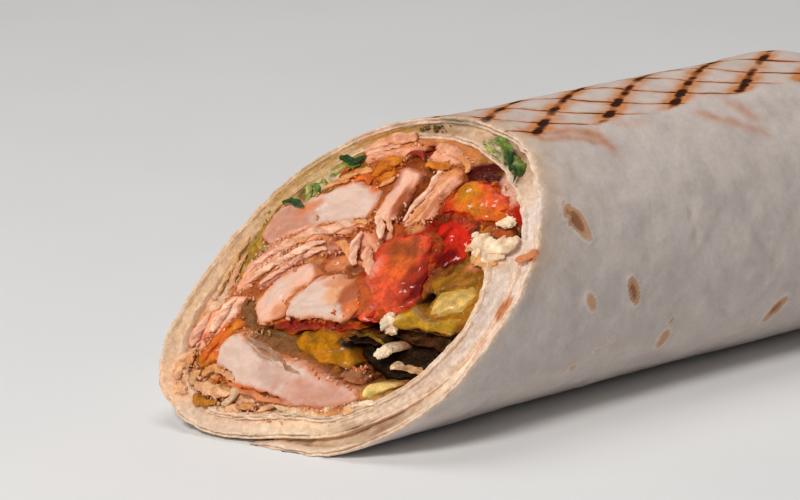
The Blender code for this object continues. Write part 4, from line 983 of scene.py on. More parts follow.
def strands(key, material):
    """Shreds, curls and torn edges from the table: tubes round a parabola through the two ends and the
    middle place, thinning to both ends, pushed about and roughened by noise, leaning with the cut."""
    slot, rows = STRANDS[key]
    steps, sides = STRAND_GRID
    t = np.linspace(0, 1, steps + 2)[1:-1, None]
    around = np.linspace(0, 2 * math.pi, sides, endpoint=False)
    quads, triangles = capped(steps, sides)
    points, tones, maps = [], [], []
    for number, (name, *places, thick, ahead) in enumerate(rows):
        first, middle, last = np.array(places, float).reshape(3, 2)
        line = first * (1 - t) * (1 - 2 * t) + middle * 4 * t * (1 - t) + last * t * (2 * t - 1)
        way = first * (4 * t - 3) + middle * (4 - 8 * t) + last * (4 * t - 1)
        side = np.column_stack([way[:, 1], -way[:, 0]]) / np.linalg.norm(way, axis=1)[:, None]
        length = np.linalg.norm(last - first)
        run = t * length
        line = line + side * 0.5 * rough(run / 2.6, 0 * run + 7.7 * number, 85, 2)
        uneven = 1 + 0.45 * rough(run / 1.9, 0 * run + 3.3 * number, 86)
        half = thick * np.sqrt(1 - np.abs(2 * t - 1) ** 3) * uneven
        dent = 1 + 0.42 * rough(run / 1.1 + 0.8 * np.cos(around), 0.8 * np.sin(around) + 3.1 * number, 87, 4)
        dent = dent + 0.14 * rough(run / 0.5 + 2 * np.cos(around), 2 * np.sin(around) + 3.1 * number, 89, 2)
        across, depth = half * dent * np.cos(around), half * dent * np.sin(around)
        section = line[:, None] + side[:, None] * across[..., None]
        x = cut_plane(section) - ahead + depth
        tube = np.concatenate([x[..., None], section], -1).reshape(-1, 3)
        tips = np.array([first, last])
        points.append(np.concatenate([tube, np.column_stack([cut_plane(tips) - ahead, tips])]))
        cloud = smooth_step(0.5 + 1.1 * rough(run / 1.5 + 0.8 * np.cos(around), np.sin(around) + number, 88))
        shown = tint(name) * (0.78 + 0.30 * cloud.reshape(-1, 1)) ** (0.7, 1.1, 1.3)
        tones.append(np.concatenate([shown, [tint(name), tint(name)]]))
        flat = np.stack([run + 0 * around, across], -1).reshape(-1, 2)
        maps.append(np.concatenate([flat, [[0, 0], [length, 0]]]))
    return join_forms(key, points, tones, maps, quads, triangles, material)


def join_forms(key, points, tones, maps, quads, triangles, material):
    """Join forms that share the same faces into one mesh."""
    quads, triangles = repeated(quads, triangles, len(points[0]), len(points))
    points = np.concatenate(points)
    flat = np.concatenate(maps) if maps else points[:, 1:]
    zero = np.zeros(len(points))
    return new_piece(key, points, quads, triangles, material, np.concatenate(tones),
                     {"marks": points[:, 1:], "fibre": flat},
                     {"toast": zero, "pressed": zero, "crumb": zero + 0.9, "rim": zero + 0.2})


def tucked_end(props):
    """The closed end: rings that swell out over the sheet's edge and shrink along a rounded bulge to the
    middle, with three folds pressed in, wrinkles running to them, and the edge of a flap across."""
    turn = np.linspace(0, 1, END_STATIONS, endpoint=False)
    roll = np.mod(turn - SHEET_START, 1.0)
    fade = 1 - smooth_step((roll - 0.96) / 0.04)
    radius = closed_curve(RADII, turn) + (sheet_swell(roll) - open_curve(INSET, roll)) * fade
    way = outward(turn)
    wander = 2.5 * rough(turn * 14, 0 * turn, 41)
    start = SHEET_END - END_GRIP - 1.5
    rings = [(start, radius * 0.5), (start, radius - 1.3)]
    for step in np.linspace(0, 1, LAP_RINGS):
        rings.append((SHEET_END - END_LAP + (END_LAP - 1) * step + wander * (1 - step ** 3),
                      radius - 0.7 + (0.7 + END_PROUD) * step))
    for share in 1 - np.linspace(0.003, 0.97, END_RINGS) ** 1.6:
        bulge = (1 - share ** 2.6) ** (1 / 2.6)
        x = SHEET_END + END_LENGTH * bulge - END_DIMPLE * (1 - share) ** 2
        for angle in FOLD_ANGLES:
            aside = np.abs(np.mod(turn - angle + 0.05 * (1 - share) + 0.5, 1.0) - 0.5)
            fold = FOLD_DEPTH * 1.25 * np.exp(-(aside / (FOLD_WIDTH * 0.7)) ** 2)
            x = x - fold * smooth_step(share * 3) * bulge
        reach = radius * share * np.cos(2 * math.pi * (turn - FLAP_EDGE[0]))
        past = reach - FLAP_EDGE[1] + 0.5 * grain(turn * 9, share * 4, 44)
        x = x + FLAP_LIFT * smooth_step(past / 0.9) * bulge
        x = x + 0.35 * rough(turn * 26 + 0 * share, share * 3, 42) * bulge * smooth_step(share * 4)
        x = x + 0.16 * rough(turn * 90, share * 9, 43) * bulge * smooth_step(share * 4)
        rings.append((x, radius * share + END_PROUD * smooth_step(share * 6 - 5)))
    points = []
    for x, ring_radius in rings:
        section = CENTRE + way * ring_radius[:, None]
        points.append(np.column_stack([np.broadcast_to(x, ring_radius.shape), section]))
    hubs = np.array([[start, *CENTRE], [SHEET_END + END_LENGTH - END_DIMPLE, *CENTRE]])
    points = np.concatenate(points + [hubs])
    section = points[:, 1:] - CENTRE
    spots = np.zeros(len(points))
    for y, z, size in END_SPOTS:
        spots = np.maximum(spots, patch(section, y, z, size, size * 0.7, 30) * 0.8)
    spots = spots * (points[:, 0] > SHEET_END + 4)
    tone = np.tile(tint("bread"), (len(points), 1))
    zone = pressed_zone(points, section[:, 1] > 10) * smooth_step((SHEET_END + 5 - points[:, 0]) / 3)
    quads, triangles = capped(len(rings), END_STATIONS)
    piece = new_piece("tucked_end", points, quads, triangles, bread_material(props), tone,
                      {"marks": mark_map(points)}, {"toast": spots, "pressed": zone, "crumb": 0 * spots})
    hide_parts("flatbread")
    return piece


# Filling

class Strip:
    """One piece of filling as it shows at the cut: a bowed line with a half thickness along it."""

    def __init__(self, row):
        self.name, self.look, y0, z0, y1, z1, *shape = row
        self.thick, self.bow, self.blunt, self.out, self.cut_tint, self.rim_tint, self.rim_width = shape
        self.lean, self.wave = LEAN.get(self.name, 0), WAVE.get(self.name, 0)
        ends = np.array([[y0, z0], [y1, z1]])
        self.middle = ends.mean(0)
        self.half_run = (ends[1] - ends[0]) / 2
        self.length = 2 * np.hypot(*self.half_run)
        self.rise = np.array([self.half_run[1], -self.half_run[0]]) * 2 / self.length
        u = np.linspace(-1, 1, STRIP_SAMPLES)
        self.samples = self.line(u)
        self.sample_half = self.half(u)

    def line(self, u):
        """Point of the middle line at u from -1 to 1: a parabola, with a ripple on a leaf."""
        u = np.asarray(u)[..., None]
        lift = self.bow * (1 - u ** 2) + self.wave * np.sin(math.pi * LEAF_WAVES * u)
        return self.middle + self.half_run * u + self.rise * lift

    def side(self, u):
        """Unit direction across the middle line."""
        u = np.asarray(u)[..., None]
        swing = math.pi * LEAF_WAVES
        tilt = -2 * self.bow * u + self.wave * swing * np.cos(swing * u)
        along = self.half_run + self.rise * tilt
        along = along / np.linalg.norm(along, axis=-1, keepdims=True)
        return np.stack([along[..., 1], -along[..., 0]], -1)

    def half(self, u):
        """Half thickness at u, full in the middle and rounded off at the ends."""
        return self.thick * np.sqrt(1 - np.abs(u) ** self.blunt) * (1 - self.lean * np.asarray(u))

    def reach(self, section):
        """How far each point lies outside the strip, less than 0 inside it."""
        away = np.linalg.norm(section[..., None, :] - self.samples, axis=-1)
        return (away - self.sample_half).min(-1)


def room(strip, strips, sheet, section, gap=MEETING_GAP):
    """Space left for the strip at each point, above 0 where the point is its own to fill."""
    own = strip.reach(section)
    others = [other for other in strips if other is not strip]
    near = [other for other in others if strip.reach(other.samples).min() < other.thick + NEAR_BY]
    free = np.min([other.reach(section) for other in near], axis=0)
    line, half = sheet
    wall = (np.linalg.norm(section[..., None, :] - line, axis=-1) - half).min(-1)
    return np.minimum(free - gap - own, wall - SHEET_GAP)


def strip_outline(strip, strips, sheet):
    """Stations along the strip, with the points of its two edges, grown until they meet a neighbour."""
    u = np.linspace(-1, 1, LINE_TRIES)
    free = room(strip, strips, sheet, strip.line(u), PIECE_GAP)
    first = last = int(np.argmax(np.minimum(free, strip.half(u) + 0.2 * (1 - np.abs(u)))))
    while first > 0 and free[first - 1] > 0:
        first -= 1
    while last < len(u) - 1 and free[last + 1] > 0:
        last += 1
    # The ends may then reach a little further, up to the neighbour
    more = int(END_GROWTH / strip.length * (len(u) - 1))
    free = room(strip, strips, sheet, strip.line(u))
    low, high = max(first - more, 0), min(last + more, len(u) - 1)
    first = next((k for k in range(low, first) if (free[k:first] > 0).all()), first)
    last = next((k for k in range(high, last, -1) if (free[last + 1:k + 1] > 0).all()), last)
    spread = rounded(OUTLINE_STATIONS)
    at = (u[first] + u[last]) / 2 + (u[last] - u[first]) / 2 * spread
    line, side = strip.line(at), strip.side(at)
    limit = strip.half(at) + CUT_FORM[strip.look][0] * (1 - np.abs(spread) ** 8)
    steps = np.linspace(0, 1, EDGE_TRIES)[:, None] * limit
    edges = []
    for sign in (1, -1):
        tries = line + sign * side * steps[..., None]
        good = room(strip, strips, sheet, tries) > 0
        reached = np.where(good.all(0), len(steps), np.argmin(good, 0)) - 1
        width = steps[np.maximum(reached, 0), np.arange(OUTLINE_STATIONS)]
        width[[0, -1]] = 0
        edges.append(line + sign * side * np.maximum(width, 0)[:, None])
    return spread, edges


@functools.lru_cache(maxsize=None)
def layout():
    """All strips, and the outline of each, worked out once."""
    strips = [Strip(row) for row in PIECES]
    sheet = sheet_middle()
    return strips, [strip_outline(strip, strips, sheet) for strip in strips]


# Relief of each cut face, as layers of noise: strength, whether it follows the piece or the section, its
# size along and across in millimetres, what it adds to the seed, and its layers of grain
RELIEF = {
    "white_meat": ((0.4, "piece", 5.0, 3.0, 0, 2), (0.07, "piece", 6.0, 0.9, 50, 2)),
    "roast_meat": ((0.45, "piece", 4.0, 1.5, 0, 3), (0.2, "piece", 4.0, 0.7, 50, 2),
                   (0.24, "section", 1.0, 1.0, 60, 3), (0.12, "section", 0.5, 0.5, 70, 2)),
    "tomato": ((0.5, "section", 3.0, 3.0, 0, 2), (0.15, "section", 0.9, 0.9, 50, 2)),
    "sauce": ((0.6, "section", 2.0, 1.6, 0, 3), (0.2, "section", 0.8, 0.8, 50, 2)),
    "lettuce": ((0.5, "piece", 1.8, math.inf, 0, 3), (0.12, "piece", 0.6, 0.6, 50, 2)),
    "other": ((0.4, "piece", 4.0, 1.8, 0, 2), (0.08, "piece", 3.0, 0.7, 50, 2)),
}
RELIEF["dark_meat"] = RELIEF["roast_meat"]


def relief(look, u, v, section, number):
    """How far a cut face stands out: u and v run along and across the piece in millimetres."""
    places = {"piece": (u, v), "section": (section[..., 0], section[..., 1])}
    total = 0.0
    for strength, space, long, wide, seed, layers in RELIEF.get(look, RELIEF["other"]):
        a, b = places[space]
        total = total + strength * rough(a / long, b / wide, number + seed, layers)
    return total


def ruffle(section):
    """Points of the section pushed about by noise, so that edges wander as those of torn food do."""
    y, z = section[..., 0], section[..., 1]
    broad = np.stack([rough(y / 3.2, z / 3.2, 401, 2), rough(y / 3.2, z / 3.2, 411, 2)], -1)
    fine = np.stack([rough(y / 0.9, z / 0.9, 421, 2), rough(y / 0.9, z / 0.9, 431, 2)], -1)
    return section + 0.55 * broad + 0.15 * fine


def rounded(count):
    """Places from -1 to 1, closer together toward both ends."""
    return -np.cos(math.pi * np.arange(count) / (count - 1))


def run_along(line):
    """Length along a line of points, from its first to each."""
    return np.cumsum(np.concatenate([[0], np.linalg.norm(np.diff(line, axis=0), axis=1)]))


def filling_piece(strip, outline, number, props):
    """One piece: a face of grid points between its two edges, lying along the slanted cut with its rim
    rounded back, then sides that run back along the roll to a flat end."""
    spread, (one, other) = outline
    length = np.linalg.norm(np.diff((one + other) / 2, axis=0), axis=1).sum()
    width = np.linalg.norm(one - other, axis=1).max()
    sizes = zip(PIECE_POINTS, (length, width))
    count, columns = (max(least, int(size / props.facet)) for least, size in sizes)
    across = rounded(columns)
    along = rounded(count)
    one, other = between(spread, one, along), between(spread, other, along)
    gap = other - one
    breadth = np.linalg.norm(gap, axis=1)
    push = EDGE_PUSH * rough(along * length / 1.1, number + 0 * along, 70 + number)
    share = ((across + 1) / 2)[None, :, None]
    face = one[:, None] * (1 - share) + other[:, None] * share
    unit = gap / np.maximum(breadth, 1e-6)[:, None]
    ease = smooth_step(breadth / 1.2)[:, None]
    face = ruffle(face + unit[:, None] * ((across ** 5)[None, :] * (push[:, None] * ease))[..., None])
    a, b = along[:, None], across[None, :]
    _, rounding, power = CUT_FORM[strip.look]
    drop = rounding * np.minimum((np.abs(a) ** (2 * power) + np.abs(b) ** power) ** 0.75, MOST_DROP)
    uneven = FACE_SWELL * ripple(2.2 * a + 0 * b, 1.6 * b + 0.9 * a, number)
    u = run_along((one + other) / 2)[:, None] + 0 * b
    v = b * breadth[:, None] / 2
    depth = relief(strip.look, u, v, face, 3 * number)
    inset = np.minimum((1 - np.abs(b)) * breadth[:, None] / 2, (1 - np.abs(a)) * length / 2)
    if strip.look in MEAT_FINISH:
        crust = np.exp(-(inset / (1.3 * strip.rim_width)) ** 2)
        pits = rough(face[..., 0], face[..., 1], number + 90, 4)
        depth = depth + crust * (CRUST_RELIEF * pits - 0.05)
    cut = np.concatenate([(cut_plane(face) - strip.out + drop + uneven - depth)[..., None], face], -1)
    middle = columns // 2
    tips, body = cut[[0, -1], middle], cut[1:-1]
    rim = np.concatenate([tips[:1], body[:, 0], tips[1:], body[::-1, -1]])
    plain = []
    for back in PIECE_RINGS:
        ring = rim.copy()
        ring[:, 0] = cut_plane(rim[:, 1:]) * (1 - smooth_step(back / PIECE_END)) + back
        plain.append(ring)
    rings = [rim]
    run = run_along(rim[:, 1:])
    inward = rim[:, 1:].mean(0) - rim[:, 1:]
    inward = inward / np.maximum(np.linalg.norm(inward, axis=1), 1e-6)[:, None]
    for part in SIDE_SHARES:
        ring = rim * (1 - part) + plain[0] * part
        ring[:, 1:] += inward * (SIDE_RELIEF * rough(run / 0.9, part * 9 + 0 * run, number))[:, None]
        rings.append(ring)
    rings += plain
    back = rim.copy()
    back[:, 0] = PIECE_END - 0.5 * (number % 3)
    rings.append(back)
    points = np.concatenate([body.reshape(-1, 3), tips] + rings[1:])
    grid = np.arange((count - 2) * columns).reshape(count - 2, columns)
    tip = (grid.size, grid.size + 1)
    first = np.concatenate([[tip[0]], grid[:, 0], [tip[1]], grid[::-1, -1]])
    others = grid.size + 2 + np.arange(len(rim) * (len(rings) - 1)).reshape(-1, len(rim))
    tube = all_round(np.concatenate([first[None], others]))
    end = others[-1]
    left, right = end[1:count - 1], end[:count - 1:-1]
    quads = np.concatenate([grid_quads(grid), grid_quads(tube), grid_quads(np.stack([right, left], 1))])
    triangles = np.concatenate([fan(tip[0], grid[0]), fan(tip[1], grid[-1][::-1]),
                                [[end[0], right[0], left[0]], [end[count - 1], left[-1], right[-1]]]])
    behind = np.arange(1, len(rings))
    edge = np.concatenate([inset[1:-1].ravel(), [0, 0], np.zeros(len(rim) * len(behind))])
    flat_u = np.concatenate([u[1:-1].ravel(), u[[0, -1], middle], np.tile(run, len(behind))])
    flat_v = np.concatenate([v[1:-1].ravel(), [0, 0], np.repeat(3.0 * behind, len(rim))])
    tone = piece_tone(strip, points, edge, number)
    material = FINISHES[strip.look](strip.look, props)
    fibre = np.stack([flat_u, flat_v], -1)
    piece = new_piece(strip.name + "_dressed", points, quads, triangles, material, tone,
                      {"fibre": fibre}, {"rim": np.exp(-(edge / strip.rim_width) ** 2)})
    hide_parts(strip.name)
    keep_in_place(piece, strip.name)
    return piece


def keep_in_place(piece, node):
    """Stop if a dressed piece lies away from the solid that it stands for."""
    place = np.empty(len(piece.data.vertices) * 3, np.float32)
    piece.data.vertices.foreach_get("co", place)
    place = place.reshape(-1, 3)
    solid = np.array([list(corner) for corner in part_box(node)])
    away = np.abs(np.stack([place.min(0), place.max(0)]) - solid).max()
    if away > PLACE_LIMIT * MM:
        raise RuntimeError(f"{piece.name} lies {away / MM:.1f} mm off {node}")


def piece_tone(strip, points, edge, number):
    """Colour of a piece: its cut tint, its rim tint along the edge, patches, and painted shade down its
    sides.
    """
    section = points[:, 1:]
    uneven = rough(section[:, 0] / 1.1, section[:, 1] / 1.1, number + 200)
    tone = np.tile(tint(strip.cut_tint), (len(points), 1))
    rim = np.exp(-(edge / (strip.rim_width * (1 + 0.5 * uneven))) ** 2)
    tone = blend(tone, tint(strip.rim_tint), rim * (0.75 + 0.35 * uneven))
    for name, y, z, half_y, half_z, degrees, strength in PATCHES:
        if suits(name, strip.look):
            mask = patch(section, y, z, half_y, half_z, degrees, seed=number + 3)
            tone = blend(tone, tint(name), mask * strength)
    # Painted shade: the further a point lies back from the cut face, the darker it is made
    deep = smooth_step((points[:, 0] - cut_plane(section) + strip.out - CUT_FORM[strip.look][1] - 0.1) / 3.5)
    return tone * (1 - deep[:, None] * SIDE_SHADE)


# Looks that the patches with some tints may colour. A patch with any other tint may colour all of them.
KIND_TINTS = {
    "leaf": ("lettuce",), "leaf_dark": ("lettuce",), "leaf_fresh": ("lettuce",), "scarlet": ("tomato",),
    "maroon": ("tomato",), "pink_flesh": ("tomato",), "coral": ("tomato", "roast_meat"),
    "ochre": ("tomato", "pepper", "roast_meat"), "grey": ("white_meat", "roast_meat"),
    "white": ("white_meat", "roast_meat"), "rose": ("white_meat",), "blush": ("white_meat",),
    "olive": ("lettuce", "pickle", "pepper", "dark_pickle", "sauce"), "soot": ("pepper", "dark_pickle"),
    "celery": ("pickle", "dark_pickle", "onion"), "chartreuse": ("pickle", "onion"),
    "swamp": ("pickle", "pepper", "sauce"), "cream": ("pickle", "sauce"),
}


def suits(name, look):
    """Whether a patch of this tint may colour a piece of this look."""
    return look in KIND_TINTS.get(name, (look,))


# Sauce between the pieces, and crumbs

def inner_wall(turn):
    """Inner radius of the innermost layer of bread at a place in turns, and its inner edge where it ends."""
    roll = np.mod(turn - SHEET_START, 1.0) + 1.0
    roll = np.where(roll + 1.0 <= SHEET_TURNS, roll + 1.0, roll)
    return sheet_radius(roll) - sheet_thickness(roll)


def nearby(values, reaches, fade):
    """Mean of a value that each piece has, weighed by exp(-reach / fade), so that the nearest count most."""
    weights = (np.exp(-np.maximum(reaches, 0) / fade) + 1e-6)[..., None]
    return sum(weight * value for weight, value in zip(weights, values)) / weights.sum(0)


def bed_depth(section, strips, reaches):
    """How far the sauce lies behind the cut: as the rims of the pieces nearby, deeper in the hollows."""
    level = nearby([0.6 - strip.out for strip in strips], reaches, 0.7)[..., 0]
    level = level + 0.4 * smooth_step(reaches.min(0) / 0.9)
    level = level + 0.55 * rough(section[..., 0] / 1.1, section[..., 1] / 1.1, 301, 4)
    for y, z, half_y, half_z, depth in HOLLOWS:
        level = level + depth * patch(section, y, z, half_y, half_z, 0, 0.25)
    return level


def bed_tone(section, strips, reaches):
    """Colour of the sauce: that of the rims nearby, darkened, with cream along the bread and below."""
    # The rims' colour times BED_SHADE: the sauce's own darker colour, and painted shade in the creases
    # between the pieces
    tone = nearby([tint(strip.rim_tint) for strip in strips], reaches, 0.6) * BED_SHADE
    streak = smooth_step(0.5 + rough(section[..., 0] / 0.9, section[..., 1] / 0.9, 303))
    tone = blend(tone, tint("amber"), streak * 0.25)
    away = reaches.min(0)
    tone = blend(tone, tint("honey"), smooth_step((away - 0.9) / 1.2) * 0.8)
    for name, y, z, half_y, half_z, degrees, strength in SAUCE_PATCHES:
        tone = blend(tone, tint(name), patch(section, y, z, half_y, half_z, degrees) * strength)
    return tone


def sauce_bed(props):
    """Sauce and juices between the pieces: rings from the middle out to the bread, on the slanted cut, each
    point as deep behind it as the pieces nearby, with a plain back a little further in."""
    strips, _ = layout()
    turns, rings = BED_TURNS, BED_RINGS
    turn = np.linspace(0, 1, turns, endpoint=False)
    share = (np.arange(1, rings + 1) / rings) ** 0.75
    reach = share[:, None] * (inner_wall(turn) + 0.25)[None]
    section = CENTRE + outward(turn)[None] * reach[..., None]
    section = np.concatenate([section.reshape(-1, 2), CENTRE[None]])
    reaches = np.array([strip.reach(2 * section - ruffle(section)) for strip in strips])
    x = cut_plane(section) + bed_depth(section, strips, reaches)
    front = np.column_stack([x, section])
    rim = front[(rings - 1) * turns:rings * turns].copy()
    rim[:, 0] += BED_DEPTH
    hub = np.array([[rim[:, 0].mean(), *CENTRE]])
    points = np.concatenate([front, rim, hub])
    numbers = np.arange(rings * turns).reshape(rings, turns)
    back = rings * turns + 1 + np.arange(turns)
    numbers = all_round(np.concatenate([numbers, back[None]]))
    triangles = np.concatenate([fan(rings * turns, numbers[0][::-1]), fan(len(points) - 1, numbers[-1])])
    tone = bed_tone(points[:, 1:], strips, np.concatenate([reaches, reaches[:, -turns - 1:]], 1))
    return new_piece("sauce_between", points, grid_quads(numbers)[:, ::-1], triangles,
                     moist_material("sauce", props), tone, {"fibre": points[:, 1:]},
                     {"rim": np.zeros(len(points))})


def scatter(name, places, sizes, tones, material, seed):
    """Many small lumps as one mesh: each a ball stretched and turned its own way, dented, at its place."""
    rng = np.random.default_rng(seed)
    ball, quads, triangles = lump(*CRUMB_GRID)
    count = len(places)
    frames = np.linalg.qr(rng.normal(size=(count, 3, 3)))[0]
    frames[:, :, 0] *= np.sign(np.linalg.det(frames))[:, None]
    scale = sizes[:, None] * rng.uniform((0.9, 0.5, 0.4), (1.7, 1.0, 0.8), (count, 3))
    dents = 1 + 0.22 * rng.normal(size=(count, len(ball), 1)).clip(-1.5, 1.5)
    local = ball[None] * dents * scale[:, None]
    points = np.einsum("nij,nkj->nki", frames, local) + places[:, None]
    flat, tones = (np.repeat(value, len(ball), axis=0) for value in (places[:, 1:], tones))
    quads, triangles = repeated(quads, triangles, len(ball), count)
    return new_piece(name, points.reshape(-1, 3), quads, triangles, material, tones, {"fibre": flat},
                     {"rim": np.zeros(len(flat))})


def cut_crumbs(props):
    """Crumbs at the places in the table, each a little ahead of the slanted cut."""
    rng = np.random.default_rng(5)
    places, sizes, tones = [], [], []
    for name, y, z, half_y, half_z, count, size, ahead in CRUMBS:
        aside = rng.normal(size=(count, 2)).clip(-1.6, 1.6) * (half_y / 1.6, half_z / 1.6)
        section = np.array([y, z]) + aside
        depth = cut_plane(section) - ahead + rng.uniform(-0.3, 0.5, count)
        places.append(np.column_stack([depth, section]))
        sizes.append(size * rng.uniform(0.5, 1.3, count))
        tones.append(tint(name) * rng.uniform(0.75, 1.15, (count, 1)))
    return scatter("crumbs", np.concatenate(places), np.concatenate(sizes), np.concatenate(tones),
                   crumb_material(props), 6)


def rim_crumbs(props):
    """Browned crumbs along the edges of the meat: each at a random place on an edge of a random piece, as
    deep as the rim there."""
    rng = np.random.default_rng(7)
    strips, outlines = layout()
    meats = [k for k, strip in enumerate(strips) if strip.look in ("white_meat", "roast_meat")]
    lengths = np.array([strips[k].length * (0.35 if strips[k].look == "white_meat" else 1.0) for k in meats])
    colours = np.array([tint(name) for name in ("apricot", "honey", "tangerine", "salmon")])
    picks = rng.choice(meats, props.crumbs, p=lengths / lengths.sum())
    section, tones, depth = [], [], []
    for k in meats:
        spread, edges = outlines[k]
        count = int((picks == k).sum())
        along = np.sort(rng.uniform(-0.95, 0.95, count))
        one, other = (between(spread, edge, along) for edge in edges)
        side = rng.random(count)[:, None] < 0.5
        spot = np.where(side, one, other) + rng.normal(size=(count, 2)) * 0.25
        section.append(spot)
        depth.append(cut_plane(spot) - strips[k].out + rng.uniform(0.1, 0.8, count))
        tones.append(colours[rng.integers(0, len(colours), count)] * rng.uniform(0.9, 1.15, (count, 1)))
    places = np.column_stack([np.concatenate(depth), np.concatenate(section)])
    sizes = BROWNED_SIZE * rng.uniform(0.4, 1.7, len(places))
    tones = np.concatenate(tones)
    return scatter("browned_bits", places, sizes, tones, crumb_material(props), 8)


# Node helpers

def add_node(tree, kind, inputs=None, **settings):
    """Add a node, set its properties, and give each named input a value or a link."""
    node = tree.nodes.new(kind)
    for key, value in settings.items():
        setattr(node, key, value)
    for key, value in (inputs or {}).items():
        if isinstance(value, bpy.types.NodeSocket):
            tree.links.new(value, node.inputs[key])
        else:
            node.inputs[key].default_value = value
    return node


def sums(tree, operation, *values):
    """Result of a maths node on one to three values."""
    return add_node(tree, "ShaderNodeMath", dict(enumerate(values)), operation=operation).outputs[0]


def times(tree, first, *others):
    """Product of two or more values."""
    return sums(tree, "MULTIPLY", first, times(tree, *others)) if others else first


def scaled(tree, vector, scale):
    """Vector or colour times a number."""
    return add_node(tree, "ShaderNodeVectorMath", {0: vector, "Scale": scale}, operation="SCALE").outputs[0]


def tinted(tree, colour, factors):
    """Colour with its red, green and blue each multiplied."""
    return add_node(tree, "ShaderNodeVectorMath", {0: colour, 1: factors}, operation="MULTIPLY").outputs[0]


def noise(tree, vector, scale, detail, **more):
    """Value of soft noise, from 0 to 1."""
    inputs = {"Vector": vector, "Scale": scale, "Detail": detail, **more}
    return add_node(tree, "ShaderNodeTexNoise", inputs).outputs[0]


def ramp(tree, value, low, high, start=0.0, end=1.0):
    """Value eased from start to end as the input goes from low to high."""
    inputs = {0: value, 1: low, 2: high, 3: start, 4: end}
    return add_node(tree, "ShaderNodeMapRange", inputs, interpolation_type="SMOOTHSTEP").outputs[0]


def mix(tree, mask, one, other):
    """Colour that goes from one to the other by the mask."""
    linked = bpy.types.NodeSocket
    one, other = (value if isinstance(value, linked) else (*value, 1) for value in (one, other))
    return add_node(tree, "ShaderNodeMix", {0: mask, 6: one, 7: other}, data_type="RGBA").outputs[2]


def shade(tree, colour, mask, low, high):
    """Colour times a strength that goes from low to high with the mask."""
    return scaled(tree, colour, ramp(tree, mask, 0.0, 1.0, low, high))


def millimetres(tree):
    """Object coordinates in millimetres."""
    return scaled(tree, add_node(tree, "ShaderNodeTexCoord").outputs["Object"], 1 / MM)


def painted(tree, name, output="Fac"):
    """Colour or value stored at the points of the mesh."""
    return add_node(tree, "ShaderNodeAttribute", attribute_name=name).outputs[output]


def flat_map(tree, name):
    """Coordinates of one of the piece's own UV maps."""
    return add_node(tree, "ShaderNodeUVMap", uv_map=name).outputs["UV"]


def new_group(name, inputs, outputs):
    """Empty node group with a Vector and some numbers in, and some numbers out."""
    tree = bpy.data.node_groups.new(name, "ShaderNodeTree")
    tree.interface.new_socket("Vector", in_out="INPUT", socket_type="NodeSocketVector")
    for key, value in inputs.items():
        tree.interface.new_socket(key, in_out="INPUT", socket_type="NodeSocketFloat").default_value = value
    for key in outputs:
        tree.interface.new_socket(key, in_out="OUTPUT", socket_type="NodeSocketFloat")
    return tree, tree.nodes.new("NodeGroupInput").outputs, tree.nodes.new("NodeGroupOutput").inputs


def use(tree, build, vector, **values):
    """Place a node group in a material, and build it the first time."""
    name = build.__name__.capitalize()
    group = bpy.data.node_groups.get(name) or build(name)
    return add_node(tree, "ShaderNodeGroup", {"Vector": vector, **values}, node_tree=group).outputs


# Node groups

def mottle(name):
    """Clouds: noise of a given size in millimetres, and a mask of where it goes from From to To."""
    given_values = {"Size": 3.0, "From": 0.42, "To": 0.6, "Detail": 3.0}
    tree, given, out = new_group(name, given_values, ("Mask", "Height"))
    height = noise(tree, given["Vector"], sums(tree, "DIVIDE", 1.0, given["Size"]), given["Detail"])
    tree.links.new(ramp(tree, height, given["From"], given["To"]), out["Mask"])
    tree.links.new(height, out["Height"])
    return tree


def fibres(name):
    """Fibres along the first coordinate: noise stretched to Length by Width, bent by softer noise."""
    tree, given, out = new_group(name, {"Length": 4.0, "Width": 0.5, "Bend": 0.8}, ("Mask", "Height"))
    parts = add_node(tree, "ShaderNodeSeparateXYZ", {0: given["Vector"]})
    soft = noise(tree, given["Vector"], 0.35, 1.0)
    lift = times(tree, sums(tree, "SUBTRACT", soft, 0.5), given["Bend"])
    across = sums(tree, "DIVIDE", sums(tree, "MULTIPLY_ADD", lift, 4.0, parts.outputs[1]), given["Width"])
    along = sums(tree, "DIVIDE", parts.outputs[0], given["Length"])
    vector = add_node(tree, "ShaderNodeCombineXYZ", {0: along, 1: across})
    height = noise(tree, vector.outputs[0], 1.0, 3.0)
    tree.links.new(ramp(tree, height, 0.36, 0.64), out["Mask"])
    tree.links.new(height, out["Height"])
    return tree


def line_marks(tree, place, step, core, halo):
    """Masks of lines at whole numbers of a coordinate: their dark core and soft halo, by distance in mm."""
    aside = sums(tree, "SUBTRACT", sums(tree, "FRACT", sums(tree, "ADD", place, 0.5)), 0.5)
    away = times(tree, sums(tree, "ABSOLUTE", aside), step)
    return ramp(tree, away, core, core * 0.08), ramp(tree, away, halo, core * 0.6)


# Half width of each mark's core and halo in millimetres, and of the belt beside a thin one where a thick
# one that crosses it burns darker
THICK_MARK = (1.5, 4.0)
THIN_MARK = (1.25, 2.8)
CROSSING = (3.4, 6.6)


